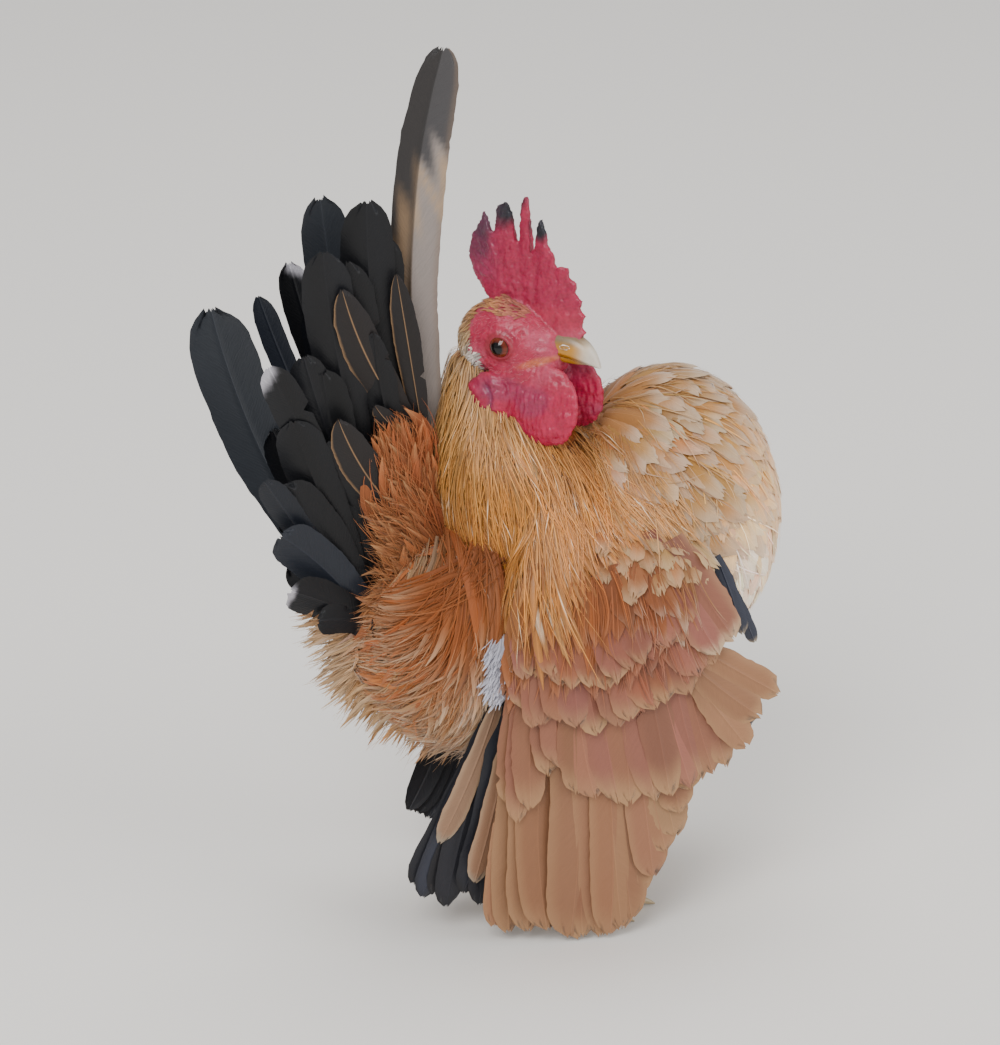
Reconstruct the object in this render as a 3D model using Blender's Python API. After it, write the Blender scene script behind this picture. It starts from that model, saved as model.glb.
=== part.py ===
# Serama cock, life size, standing with its breast high, wings held upright and tail raised.
# Metres, +Z up, +X towards the breast, +Y to the bird's left. The floor is z = 0.
import bmesh
import bpy
import numpy as np
from math import atan2, cos, degrees, pi, radians, sin, sqrt
from mathutils import Matrix, Vector
from mathutils.bvhtree import BVHTree

for old in list(bpy.data.objects):
    bpy.data.objects.remove(old)

MM = 0.001
GAP = 0.3 * MM  # between nodes that touch

# Torso, from the rump to the high breast: x, middle height, half height, half width
TORSO_STATIONS = (
    (-65 * MM, 98 * MM, 8 * MM, 7 * MM),
    (-60 * MM, 97 * MM, 20 * MM, 17 * MM),
    (-45 * MM, 95 * MM, 33 * MM, 28 * MM),
    (-20 * MM, 98 * MM, 45 * MM, 36 * MM),
    (5 * MM, 109 * MM, 54 * MM, 37 * MM),
    (28 * MM, 121 * MM, 55 * MM, 38 * MM),
    (49 * MM, 127 * MM, 46 * MM, 33 * MM),
    (63 * MM, 128 * MM, 30 * MM, 23 * MM),
    (70 * MM, 128 * MM, 11 * MM, 9 * MM),
)
TORSO_RINGS = 13
TORSO_SIDES = 18

# Neck, drawn back in an S so that it meets the tail: height, centre x and y, half width along X and Y
NECK_STATIONS = (
    (118 * MM, -6 * MM, 0 * MM, 30 * MM, 31 * MM),
    (140 * MM, -9 * MM, 0 * MM, 33 * MM, 34 * MM),
    (154 * MM, -13 * MM, 0 * MM, 29 * MM, 29 * MM),
    (165 * MM, -19 * MM, 1 * MM, 21 * MM, 20 * MM),
    (175 * MM, -24 * MM, 3 * MM, 14 * MM, 13 * MM),
    (184 * MM, -27 * MM, 4 * MM, 9 * MM, 8 * MM),
)
NECK_SIDES = 12
NECK_RINGS = 6

# Head, in its own frame: x to the beak, y to its left, z up, zero between the eyes
HEAD_PLACE = (-15 * MM, -4 * MM, 190.5 * MM)
HEAD_YAW = -42
HEAD_PITCH = 0
HEAD_STATIONS = (  # x, middle z, half height, half width
    (-18.5 * MM, -2 * MM, 2 * MM, 2 * MM),
    (-16 * MM, -2 * MM, 7.5 * MM, 7 * MM),
    (-10 * MM, -1 * MM, 11.5 * MM, 10.5 * MM),
    (-2 * MM, 0 * MM, 12.8 * MM, 11.8 * MM),
    (6 * MM, -1.2 * MM, 11.8 * MM, 10.2 * MM),
    (12 * MM, -2.2 * MM, 9.0 * MM, 7.4 * MM),
    (16 * MM, -2.4 * MM, 6.8 * MM, 5.6 * MM),
)
HEAD_SIDES = 18
EYE_RADIUS = 4.6 * MM
EYE_OUT = 8.1 * MM
LID_RADIUS = 4.3 * MM
LID_THICKNESS = 1.0 * MM
BEAK_LENGTH = 13 * MM
BEAK_DROP = 0.9 * MM
BEAK_RISE = 1.4 * MM  # of the mouth at the beak's root
BEAK_HEIGHT = 6.8 * MM
LOWER_BEAK_HEIGHT = 3.0 * MM
BEAK_HALF_WIDTH = 4.4 * MM
BEAK_STOUT = {1: 5.0, -1: 2.0}  # how late the upper and lower half taper
MOUTH_HEIGHT = -3.0 * MM
MOUTH_LINE = (-5.4 * MM, -1.6 * MM)  # height of the slit in the cheek at the corner and at the beak
MOUTH_GAP = 0.7 * MM
MOUTH_CORNER = 7.5 * MM
MOUTH_INNER = 5.2 * MM
NOSTRIL = (18.6 * MM, 1.9 * MM, 1.0 * MM)
NOSTRIL_HALF = (1.2 * MM, 0.5 * MM)

# Single comb: blade outline from the beak over the points to the lobe at the nape
COMB_BASE_FRONT = (22.4 * MM, 3.6 * MM)
COMB_BASE_REAR = (-7.0 * MM, 11.0 * MM)
COMB_OUTLINE = (  # x, z of each point and the notch behind it
    (23.8 * MM, 5.4 * MM),
    (22.0 * MM, 7.2 * MM),
    (23.4 * MM, 10.4 * MM),
    (21.2 * MM, 12.0 * MM),
    (22.2 * MM, 15.0 * MM),
    (19.8 * MM, 16.6 * MM),
    (20.4 * MM, 20.4 * MM),
    (17.6 * MM, 21.6 * MM),
    (18.2 * MM, 25.6 * MM),
    (13.4 * MM, 24.6 * MM),
    (13.0 * MM, 28.8 * MM),
    (10.4 * MM, 31.2 * MM),
    (8.7 * MM, 39.8 * MM),
    (5.2 * MM, 29.0 * MM),
    (3.2 * MM, 45.6 * MM),
    (-0.8 * MM, 33.0 * MM),
    (-3.9 * MM, 43.6 * MM),
    (-8.6 * MM, 31.6 * MM),
    (-11.2 * MM, 38.8 * MM),
    (-15.0 * MM, 31.6 * MM),
    (-16.6 * MM, 24.0 * MM),
    (-14.0 * MM, 16.6 * MM),
    (-9.6 * MM, 12.8 * MM),
)
COMB_HALF_BASE = 2.6 * MM
COMB_HALF_EDGE = 0.8 * MM

WATTLE_PLACE = (15.0 * MM, 6.6 * MM, -17.6 * MM)
WATTLE_HALF = (11.0 * MM, 3.2 * MM, 12.0 * MM)
WATTLE_FOLDS = 0.16  # depth of the folds, for each unit of its thickness
EARLOBE_PLACE = (-3.2 * MM, 10.6 * MM, -17.6 * MM)
EARLOBE_HALF = (7.2 * MM, 3.2 * MM, 8.8 * MM)

# Wing, drawn on a sheet beside the body: x, z in side view and n outwards
WING_HALF_WIDTH = 43.5 * MM  # of the bird at the sheet, half way up
WING_SHOULDER = 100 * MM  # height where the sheet stands upright
WING_TOP_ROUND = 78 * MM
WING_TOE_IN = 9 * MM
WING_WRAP = 0.35
WING_MIDDLE = 8 * MM
WING_WRAP_REACH = 65 * MM
ARM_OUTLINE = (  # height, rear x, front x of the fleshy arm that the coverts grow from
    (92 * MM, -22 * MM, 47 * MM),
    (104 * MM, -22 * MM, 49 * MM),
    (118 * MM, -14 * MM, 44 * MM),
    (130 * MM, 0 * MM, 30 * MM),
)
ARM_ROWS, ARM_COLUMNS = 5, 5
ARM_LEVELS = (0.3 * MM, 5.0 * MM)
VANE = 0.6 * MM  # thickness
DEEPEST = 6 * MM  # how deep in a neighbour a vane is still bent clear of it
VANE_STEP = 0.95 * MM  # from one vane to the one it lies over

# Rows of vanes on the wing: how many, root and tip of the rearmost and frontmost, half width, level
# at root and tip. Each row is spread evenly between its two ends, by way of the tips listed.
SECONDARIES = dict(
    roots=((-18 * MM, 89 * MM), (42 * MM, 89 * MM)),
    tips=((-27 * MM, 9 * MM), (-21 * MM, 2 * MM), (-12 * MM, 1 * MM), (-3 * MM, 0 * MM), (5 * MM, 0 * MM),
          (12 * MM, 1 * MM), (17 * MM, 8 * MM), (22 * MM, 20 * MM), (28 * MM, 33 * MM), (36 * MM, 47 * MM)),
    half=7.8 * MM,
    levels=(1.9 * MM, 1.9 * MM),
)
PRIMARIES = dict(
    roots=((32 * MM, 96 * MM), (47 * MM, 110 * MM)),
    tips=((-14 * MM, 8 * MM), (-23 * MM, 7 * MM), (-32 * MM, 10 * MM), (-39 * MM, 15 * MM),
          (-42 * MM, 22 * MM), (-42 * MM, 32 * MM)),
    half=6.6 * MM,
    levels=(-1.9 * MM, -2.1 * MM),
)
COVERT_ROWS = (
    dict(roots=((-16 * MM, 98 * MM), (43 * MM, 98 * MM)),
         tips=((-27 * MM, 58 * MM), (-15 * MM, 51 * MM), (-3 * MM, 50 * MM), (10 * MM, 51 * MM), (22 * MM, 54 * MM),
               (34 * MM, 58 * MM), (46 * MM, 66 * MM)),
         half=8.4 * MM, levels=(4.8 * MM, 5.2 * MM)),
    dict(roots=((-15 * MM, 111 * MM), (43 * MM, 110 * MM)),
         tips=((-27 * MM, 82 * MM), (-13 * MM, 75 * MM), (1 * MM, 73 * MM), (15 * MM, 74 * MM), (30 * MM, 78 * MM),
               (54 * MM, 82 * MM)),
         half=8.8 * MM, levels=(4.2 * MM, 7.2 * MM)),
    dict(roots=((-8 * MM, 122 * MM), (38 * MM, 122 * MM)),
         tips=((-20 * MM, 102 * MM), (-4 * MM, 96 * MM), (13 * MM, 95 * MM), (30 * MM, 97 * MM), (48 * MM, 103 * MM)),
         half=9.8 * MM, levels=(4.0 * MM, 8.6 * MM)),
)

# Tail: each half is a fan about the rump, angle from the breast's direction over the top, and length
TAIL_ROOT = (-47 * MM, 0 * MM, 112 * MM)
TAIL_FEATHERS = {
    "R": ((97, 124 * MM), (103, 126 * MM), (110, 118 * MM), (117, 110 * MM), (126, 94 * MM), (139, 69 * MM),
          (158, 53 * MM)),
    "L": ((98, 124 * MM), (104, 128 * MM), (111, 117 * MM), (118, 109 * MM), (125, 107 * MM), (140, 72 * MM),
          (159, 52 * MM)),
}
TAIL_HALF_WIDTH = 11.5 * MM
TAIL_COVERTS = (
    (93, 92 * MM),
    (101, 82 * MM),
    (112, 82 * MM),
    (126, 62 * MM),
    (146, 50 * MM),
    (174, 38 * MM),
)
TAIL_COVERT_HALF_WIDTH = 6.5 * MM
TAIL_LEVEL = 1.2 * MM
TAIL_COVERT_LEVEL = 5.2 * MM
TAIL_BOW = 0.03  # how far a feather bends back, for each unit of its length
TAIL_COVERT_BOW = 0.10
TAIL_BASE = 17 * MM  # radius of the block that the quills stand in
TAIL_SPAN = (97, 159)
TAIL_SPREAD = (0.04, 0.36)  # sideways, for each unit of length, at the two ends of the span
TAIL_INSIDE = 1.6 * MM
SICKLE_ANGLE = 87.6
SICKLE_LENGTH = 176 * MM
SICKLE_HALF_WIDTH = 7.2 * MM

# Hackles, in rows down the neck: height of the roots, how many, length, half width
HACKLE_ROWS = (
    (171 * MM, 8, 33 * MM, 6.6 * MM),
    (157 * MM, 10, 44 * MM, 9.0 * MM),
    (143 * MM, 11, 44 * MM, 10.0 * MM),
)
FACE_TURN = 55  # degrees either side of the face where the top row leaves the throat bare
BREAST_TURN = 48  # degrees either side of the breast where the lowest row stops
HACKLE_RISE = 0.11  # how fast a vane leaves the neck
HACKLE_SUNK = 1.6 * MM

# Saddle and rump locks, in rows across the back: x of the roots, turns about the body where they
# start and end (0 over the back, 90 at the side), how many, length, half width
SADDLE_ROWS = (
    (-26 * MM, 30, 110, 5, 38 * MM, 8.6 * MM),
    (-38 * MM, 28, 138, 5, 38 * MM, 8.8 * MM),
    (-50 * MM, 38, 155, 4, 31 * MM, 8.2 * MM),
)

# Legs: hip, hock and foot in side view, and how far out they stand
LEG_OUT = 16 * MM
HIP = (-4 * MM, 74 * MM)
HOCK = (-17 * MM, 43 * MM)
FOOT = (-4 * MM, 5.5 * MM)
SHANK_RADIUS = 3.1 * MM
TOES = (  # name, direction from straight ahead (out is positive), length, radius
    ("inner", -28, 21 * MM, 2.3 * MM),
    ("middle", 4, 27 * MM, 2.5 * MM),
    ("outer", 30, 21 * MM, 2.2 * MM),
    ("hind", 170, 12 * MM, 2.0 * MM),
)
TOE_JOINT = 9 * MM
TOE_PRESS = 0.85  # height of a toe's middle, for each unit of its radius
THIGH_RADII = [17 * MM, 16 * MM, 13.5 * MM, 10 * MM, 7 * MM, 4.6 * MM]
SCUTES = 3
SCUTE_STEP = 0.35 * MM
HOCK_SWELL = 0.9 * MM
FOOT_SWELL = 0.8 * MM
SPUR_PLACE = 0.68
CLAW_LENGTH = 7 * MM
SPUR_LENGTH = 6 * MM

SIDES = (("R", -1), ("L", 1))


def material(name, colour, roughness, metallic=0.0):
    made = bpy.data.materials.new(name)
    made.use_nodes = True
    shader = made.node_tree.nodes["Principled BSDF"]
    shader.inputs["Base Color"].default_value = (*colour, 1.0)
    shader.inputs["Roughness"].default_value = roughness
    shader.inputs["Metallic"].default_value = metallic
    return made


HACKLE_GOLD = material("hackle_gold", (0.55, 0.25, 0.07), 0.55)
BREAST_CREAM = material("breast_cream", (0.62, 0.44, 0.25), 0.65)
WING_SALMON = material("wing_salmon", (0.50, 0.24, 0.12), 0.6)
FEATHER_BLACK = material("feather_black", (0.012, 0.013, 0.017), 0.4)
FEATHER_TAN = material("feather_tan", (0.30, 0.22, 0.16), 0.55)
SKIN_RED = material("skin_red", (0.60, 0.03, 0.06), 0.45)
BEAK_HORN = material("beak_horn", (0.62, 0.50, 0.30), 0.35)
EYE_DARK = material("eye_dark", (0.03, 0.01, 0.005), 0.08)
LEG_YELLOW = material("leg_yellow", (0.62, 0.45, 0.16), 0.5)
CLAW_HORN = material("claw_horn", (0.40, 0.32, 0.22), 0.35)


# Mesh helpers

def closed_mesh(name, points, triangles, paint):
    points = np.asarray(points, float)
    triangles = np.asarray(triangles, int)
    corners = points[triangles]
    if np.einsum("ij,ij->i", corners[:, 0], np.cross(corners[:, 1], corners[:, 2])).sum() < 0:
        triangles = triangles[:, ::-1]
    mesh = bpy.data.meshes.new(name)
    mesh.from_pydata(points.tolist(), [], triangles.tolist())
    mesh.materials.append(paint)
    made = bpy.data.objects.new(name, mesh)
    bpy.context.scene.collection.objects.link(made)
    return made


def end_cap(first, sides, thin):
    # Triangles over one ring: a fan, or a ladder across a thin ring whose halves face each other
    if not thin:
        return [(first, first + k, first + k + 1) for k in range(1, sides - 1)]
    triangles = []
    for k in range(sides // 2 - 1):
        a, b = first + k, first + k + 1
        c, d = first + sides - 1 - k, first + sides - 2 - k
        triangles += [(a, b, d), (a, d, c)]
    return triangles


def skinned(name, rings, paint, thin=False):
    # Rings of like count joined by triangles and closed at each end. On a thin ring the diagonals
    # of the second half run the other way, so that both faces are split alike.
    rings = np.asarray(rings, float)
    count, sides = rings.shape[:2]
    triangles = []
    for i in range(count - 1):
        for k in range(sides):
            a, b = i * sides + k, i * sides + (k + 1) % sides
            c, d = a + sides, b + sides
            if thin and sides // 2 <= k < sides - 1:
                triangles += [(a, b, c), (b, d, c)]
            else:
                triangles += [(a, b, d), (a, d, c)]
    last = (count - 1) * sides
    triangles += [(a, c, b) for a, b, c in end_cap(0, sides, thin)]
    triangles += end_cap(last, sides, thin)
    return closed_mesh(name, rings.reshape(-1, 3), triangles, paint)


def through(stations, count):
    # Rows of numbers read from a smooth curve through the stations
    stations = np.asarray(stations, float)
    spans = len(stations) - 1
    padded = np.vstack([2 * stations[0] - stations[1], stations, 2 * stations[-1] - stations[-2]])
    rows = []
    for u in np.linspace(0, spans, count):
        i = min(int(u), spans - 1)
        t = u - i
        p0, p1, p2, p3 = padded[i : i + 4]
        rows.append(
            0.5 * (2 * p1 + (p2 - p0) * t + (2 * p0 - 5 * p1 + 4 * p2 - p3) * t**2
                   + (3 * p1 - p0 - 3 * p2 + p3) * t**3)
        )
    return np.array(rows)


def round_section(centre, along, across, sides):
    # An ellipse about centre with the two half axes given as vectors
    turns = [2 * pi * k / sides for k in range(sides)]
    return [np.add(centre, np.multiply(along, cos(a)) + np.multiply(across, sin(a))) for a in turns]


def grown(source, by):
    # A hidden copy, larger by that distance all round, to cut its neighbours with
    copy = source.copy()
    copy.data = source.data.copy()
    copy.name = source.name + "_cutter"
    bpy.context.scene.collection.objects.link(copy)
    mesh = copy.data
    normals = [v.normal.copy() for v in mesh.vertices]
    for vertex, normal in zip(mesh.vertices, normals):
        vertex.co += normal * by
    copy.hide_render = True
    copy.display_type = "WIRE"
    return copy


def largest_piece(mesh):
    # Keeps the closed surface with the largest volume, and tells that volume, or 0 if it has a gap
    work = bmesh.new()
    work.from_mesh(mesh)
    seen, pieces = set(), []
    for start in work.faces:
        if start.index in seen:
            continue
        stack, piece = [start], []
        seen.add(start.index)
        while stack:
            face = stack.pop()
            piece.append(face)
            for edge in face.edges:
                for other in edge.link_faces:
                    if other.index not in seen:
                        seen.add(other.index)
                        stack.append(other)
        pieces.append(piece)
    if not pieces:
        work.free()
        return 0.0

    def volume(piece):
        return sum(f.calc_center_median().dot(f.normal) * f.calc_area() for f in piece) / 3

    keep = max(pieces, key=volume)
    held = volume(keep)
    bmesh.ops.delete(work, geom=[f for piece in pieces if piece is not keep for f in piece], context="FACES")
    closed = all(len(edge.link_faces) == 2 for edge in work.edges)
    work.to_mesh(mesh)
    work.free()
    return held if closed else 0.0


def booleaned(base, modifier):
    # The result of a Boolean as one closed body, by the first solver that gives one
    results = []
    for solver in ("MANIFOLD", "EXACT"):
        modifier.solver = solver
        bpy.context.view_layer.update()
        graph = bpy.context.evaluated_depsgraph_get()
        result = bpy.data.meshes.new_from_object(base.evaluated_get(graph))
        results.append((largest_piece(result), result))
        if results[-1][0] > 0:
            break
    base.modifiers.clear()
    base.data = max(results, key=lambda pair: pair[0])[1]
    return base


def fused(base, others):
    # Joins all others to base in one union
    group = bpy.data.collections.new("pieces")
    bpy.context.scene.collection.children.link(group)
    for piece in others:
        group.objects.link(piece)
    modifier = base.modifiers.new("fuse", "BOOLEAN")
    modifier.operation = "UNION"
    modifier.operand_type = "COLLECTION"
    modifier.collection = group
    booleaned(base, modifier)
    for piece in others:
        bpy.data.objects.remove(piece)
    bpy.data.collections.remove(group)
    return base


def cut(base, cutter):
    modifier = base.modifiers.new("cut", "BOOLEAN")
    modifier.operation = "DIFFERENCE"
    modifier.object = cutter
    booleaned(base, modifier)
    bpy.data.objects.remove(cutter)
    return base


def cut_clear(piece, *neighbours):
    for other in neighbours:
        cut(piece, grown(other, GAP))
    return piece


def flat_on_floor(piece):
    # Cuts what reaches below the floor, which leaves small flats
    lowest = min((piece.matrix_world @ v.co).z for v in piece.data.vertices)
    if lowest >= 0:
        return piece
    reach = 400 * MM
    depth = 20 * MM
    corners = [(x, y, z) for x in (-reach, reach) for y in (-reach, reach) for z in (-depth, 0)]
    faces = [(0, 1, 3), (0, 3, 2), (4, 6, 7), (4, 7, 5), (0, 4, 5), (0, 5, 1),
             (2, 3, 7), (2, 7, 6), (0, 2, 6), (0, 6, 4), (1, 5, 7), (1, 7, 3)]
    floor = closed_mesh("floor_cutter", corners, faces, piece.data.materials[0])
    return cut(piece, floor)


def finish(piece, sharp=40):
    piece.data.shade_smooth()
    piece.data.set_sharp_from_angle(angle=radians(sharp))
    return piece


# Torso

def make_torso():
    rings = [
        round_section((x, 0, z), (0, 0, tall), (0, wide, 0), TORSO_SIDES)
        for x, z, tall, wide in through(TORSO_STATIONS, TORSO_RINGS)
    ]
    return finish(skinned("torso", rings, BREAST_CREAM))


# Neck

def neck_rings(count):
    return [
        round_section((x, y, z), (along, 0, 0), (0, across, 0), NECK_SIDES)
        for z, x, y, along, across in through(NECK_STATIONS, count)
    ]


def make_neck():
    return skinned("neck", neck_rings(NECK_RINGS), HACKLE_GOLD)


# Head

HEAD_FRAME = (
    Matrix.Translation(HEAD_PLACE)
    @ Matrix.Rotation(radians(HEAD_YAW), 4, "Z")
    @ Matrix.Rotation(radians(HEAD_PITCH), 4, "Y")
)


def in_head(points):
    return np.array([HEAD_FRAME @ Vector(p) for p in np.asarray(points).reshape(-1, 3)]).reshape(np.shape(points))


def ball(name, centre, half, paint, rings=9, sides=14, lean=0.0, folds=0.0):
    # A ball flattened sideways, leaning out as it hangs, with upright folds
    sections = []
    for i in range(rings):
        turn = pi * (i + 0.3) / (rings - 0.4)
        z, wide = -cos(turn), sin(turn) ** 0.8
        middle = (centre[0], centre[1] + lean * z * half[2], centre[2] + half[2] * z)
        section = []
        for k in range(sides):
            a = 2 * pi * k / sides
            swell = 1 + folds * cos(3 * a + 1.5 * z) + folds * 0.6 * cos(5 * a)
            section.append((middle[0] + half[0] * wide * cos(a), middle[1] + half[1] * wide * sin(a) * swell,
                            middle[2]))
        sections.append(section)
    return skinned(name, in_head(sections), paint)


def eye(name, side):
    sections = []
    rings, sides = 8, 12
    for i in range(rings):
        turn = pi * (i + 0.3) / (rings - 0.4)
        centre = (0, side * EYE_OUT - EYE_RADIUS * cos(turn), 0)
        wide = EYE_RADIUS * sin(turn)
        sections.append(round_section(centre, (wide, 0, 0), (0, 0, wide), sides))
    return finish(skinned(name, in_head(sections), EYE_DARK))


def lid(side):
    rings = []
    turns = 12
    for k in range(turns):
        a = 2 * pi * k / turns
        out = np.array([cos(a), 0, sin(a)])
        centre = out * LID_RADIUS + np.array([0, side * (EYE_OUT + 2.6 * MM), 0])
        rings.append(
            round_section(centre, out * LID_THICKNESS, (0, side * LID_THICKNESS * 1.3, 0), 5)
        )
    rings = in_head(rings)
    sides = 5
    triangles = []
    for i in range(turns):
        for k in range(sides):
            a, b = i * sides + k, i * sides + (k + 1) % sides
            c, d = (i + 1) % turns * sides + k, (i + 1) % turns * sides + (k + 1) % sides
            triangles += [(a, b, d), (a, d, c)]
    return closed_mesh("lid", rings.reshape(-1, 3), triangles, SKIN_RED)


def make_head(eyes):
    rings = [
        round_section((x, 0, z), (0, 0, tall), (0, wide, 0), HEAD_SIDES)
        for x, z, tall, wide in through(HEAD_STATIONS, 10)
    ]
    head = skinned("head", in_head(rings), SKIN_RED)
    fused(head, [lid(side) for _, side in SIDES])
    cut_clear(head, *eyes)
    return finish(cut_mouth_line(head))


def small_block(low, high, rise=0.0):
    # A box in the head's frame between two corners, its front end raised
    rings = [[(x, low[1], low[2] + up), (x, high[1], low[2] + up), (x, high[1], high[2] + up), (x, low[1], high[2] + up)]
             for x, up in ((low[0], 0.0), (high[0], rise))]
    return skinned("block", in_head(rings), SKIN_RED)


def cut_mouth_line(head):
    for _, side in SIDES:
        inner, outer = sorted((side * MOUTH_INNER, side * 14 * MM))
        rear, front = MOUTH_LINE
        low, high = (MOUTH_CORNER, inner, rear - MOUTH_GAP / 2), (18 * MM, outer, rear + MOUTH_GAP / 2)
        cut(head, small_block(low, high, front - rear))
    return head


def cut_nostrils(beak):
    for _, side in SIDES:
        x, y, z = NOSTRIL
        low, high = sorted((side * y, side * (y + 4 * MM)))
        half_long, half_tall = NOSTRIL_HALF
        cut(beak, small_block((x - half_long, low, z - half_tall), (x + half_long, high, z + half_tall)))
    return beak


def make_beak(head):
    pieces = []
    root = HEAD_STATIONS[-1][0] - 3 * MM
    halves = (("beak_upper", 1, 1.0, BEAK_HEIGHT), ("beak_lower", -1, 0.84, LOWER_BEAK_HEIGHT))
    for name, top, reach, tall in halves:
        rings = []
        steps = 8
        for i in range(steps):
            t = i / (steps - 1)
            x = root + (BEAK_LENGTH + 3 * MM) * reach * t
            taper = max(1 - t**BEAK_STOUT[top], 0.10)
            low = MOUTH_HEIGHT + (0.35 * top) * GAP - BEAK_DROP * t * t + BEAK_RISE * (1 - t)
            hook = -1.0 * MM * t**4 if top > 0 else 0
            wide = BEAK_HALF_WIDTH * (0.12 + 0.88 * taper) * (1 if top > 0 else 0.86)
            high = max(tall * taper, 0.5 * MM)
            section = []
            for k in range(9):
                a = pi * k / 8
                section.append((x, wide * cos(a), low + hook + top * (GAP / 2 + high * sin(a))))
            rings.append(section)
        beak = skinned(name, in_head(rings), BEAK_HORN)
        cut_clear(beak, head)
        pieces.append(finish(cut_nostrils(beak) if top > 0 else beak))
    return pieces


def make_comb(head, beak):
    outline = [np.array(COMB_BASE_FRONT), *map(np.array, COMB_OUTLINE), np.array(COMB_BASE_REAR)]
    count = len(outline)
    lengths = np.linspace(0, 1, count)
    base_front = np.array(COMB_BASE_FRONT) - np.array([1.0 * MM, 4 * MM])
    base_rear = np.array(COMB_BASE_REAR) - np.array([-2.0 * MM, 5 * MM])
    levels = (0.0, 0.6, 1.0)
    rings = []
    for share, edge in zip(lengths, outline):
        base = base_front + (base_rear - base_front) * share
        side_points = []
        for level in levels:
            x, z = base + (edge - base) * level
            half = COMB_HALF_BASE + (COMB_HALF_EDGE - COMB_HALF_BASE) * level**0.7
            side_points.append((x, half, z))
        other = [(x, -half, z) for x, half, z in reversed(side_points)]
        rings.append(side_points + other)
    comb = skinned("comb", in_head(rings), SKIN_RED, thin=True)
    cut_clear(comb, head)
    cut_clear(comb, beak)
    return finish(comb, 50)


def make_wattles(neighbours):
    made = []
    for name, side in SIDES:
        place = (WATTLE_PLACE[0], side * WATTLE_PLACE[1], WATTLE_PLACE[2])
        wattle = ball("wattle_" + name, place, WATTLE_HALF, SKIN_RED, 8, 14, -0.10 * side, WATTLE_FOLDS)
        made.append(finish(cut_clear(wattle, *neighbours)))
    return made


def make_earlobes(neighbours):
    made = []
    for (name, side), wattle in zip(SIDES, neighbours[1]):
        place = (EARLOBE_PLACE[0], side * EARLOBE_PLACE[1], EARLOBE_PLACE[2])
        lobe = ball("earlobe_" + name, place, EARLOBE_HALF, SKIN_RED, 7, 12, 0.05 * side, 0.1)
        made.append(finish(cut_clear(lobe, neighbours[0], wattle)))
    return made


# Feathers

ROUND_TIP = ((0.0, 0.62), (0.55, 1.0), (0.88, 0.84), (1.0, 0.34))
LONG_TIP = ((0.0, 0.50), (0.35, 0.92), (0.68, 1.0), (0.91, 0.80), (1.0, 0.34))
POINTED_TIP = ((0.0, 0.75), (0.35, 1.0), (0.7, 0.72), (1.0, 0.12))
LOCK_TIP = ((0.0, 0.80), (0.5, 1.0), (1.0, 0.12))


def vane_ring(at, half, lean, ridge):
    # The section of a vane, where at gives a point from its distance across and its level
    if ridge:
        columns, tops = (-half, 0.0, half), (VANE / 2, VANE / 2 + ridge, VANE / 2)
    else:
        columns, tops = (-half, half), (VANE / 2, VANE / 2)
    under = [at(c, lean * c - VANE / 2) for c in columns]
    over = [at(c, lean * c + top) for c, top in zip(columns, tops)]
    return under + over[::-1]


def sheet_vane(place, root, tip, half, levels, lean, paint, profile=ROUND_TIP, ridge=0.0, bow=0.0):
    # A vane on a curved sheet, where place gives the point at x, z and level n
    root, tip = np.array(root), np.array(tip)
    along = (tip - root) / np.linalg.norm(tip - root)
    across = np.array([-along[1], along[0]])
    rings = []
    for t, share in profile:
        middle = root + (tip - root) * t + across * bow * 4 * t * (1 - t)
        level = levels[0] + (levels[1] - levels[0]) * t

        def at(c, n):
            x, z = middle + across * c
            return place(x, z, level + n)

        rings.append(vane_ring(at, half * share, lean, ridge))
    return skinned("vane", rings, paint, thin=True)


def free_vane(root, ahead, normal, length, half, paint, lean=0.0, rise=0.1, droop=0.0, sunk=0.0, trees=()):
    # A vane that starts on a surface, leaves it slowly and bends down, clear of the neighbours
    rings = []
    ahead, normal = Vector(ahead).normalized(), Vector(normal).normalized()
    across = ahead.cross(normal).normalized()
    for t, share in LOCK_TIP:
        middle = (
            Vector(root) + ahead * length * t - normal * sunk * (1 - t)
            + normal * rise * length * t - Vector((0, 0, droop * length * t * t))
        )
        for tree in trees if t > 0 else ():
            spot, out, _, away = tree.find_nearest(middle)
            clear = (middle - spot).dot(out)
            reach = half * share * 0.35 + 2 * GAP + VANE
            if clear < reach and away < DEEPEST:
                middle += out * (reach - clear)

        def at(c, n):
            return middle + across * c + normal * n

        rings.append(vane_ring(at, half * share, lean, 0.0))
    return skinned("vane", rings, paint, thin=True)


def slab(place, rows, levels, paint, columns=5):
    # A block on a sheet between two levels: rows of x from and to at each z
    rings = []
    for z, first, last in rows:
        spread = np.linspace(first, last, columns)
        rings.append([place(x, z, levels[0]) for x in spread] + [place(x, z, levels[1]) for x in spread[::-1]])
    return skinned("slab", rings, paint, thin=True)


def tree_of(thing):
    mesh = thing.data
    return BVHTree.FromPolygons([v.co for v in mesh.vertices], [p.vertices[:] for p in mesh.polygons])


def row_of_vanes(place, row, paint, profile=ROUND_TIP, ridge=0.0):
    tips = row["tips"]
    first, last = (np.array(p) for p in row["roots"])
    spacing = np.linalg.norm(last - first) / (len(tips) - 1)
    lean = VANE_STEP / spacing if spacing > 4 * MM else VANE_STEP / (5.5 * MM)
    made = []
    for i, tip in enumerate(tips):
        root = first + (last - first) * i / (len(tips) - 1)
        made.append(sheet_vane(place, root, tip, row["half"], row["levels"], lean, paint, profile, ridge))
    return made


# Wing

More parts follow.
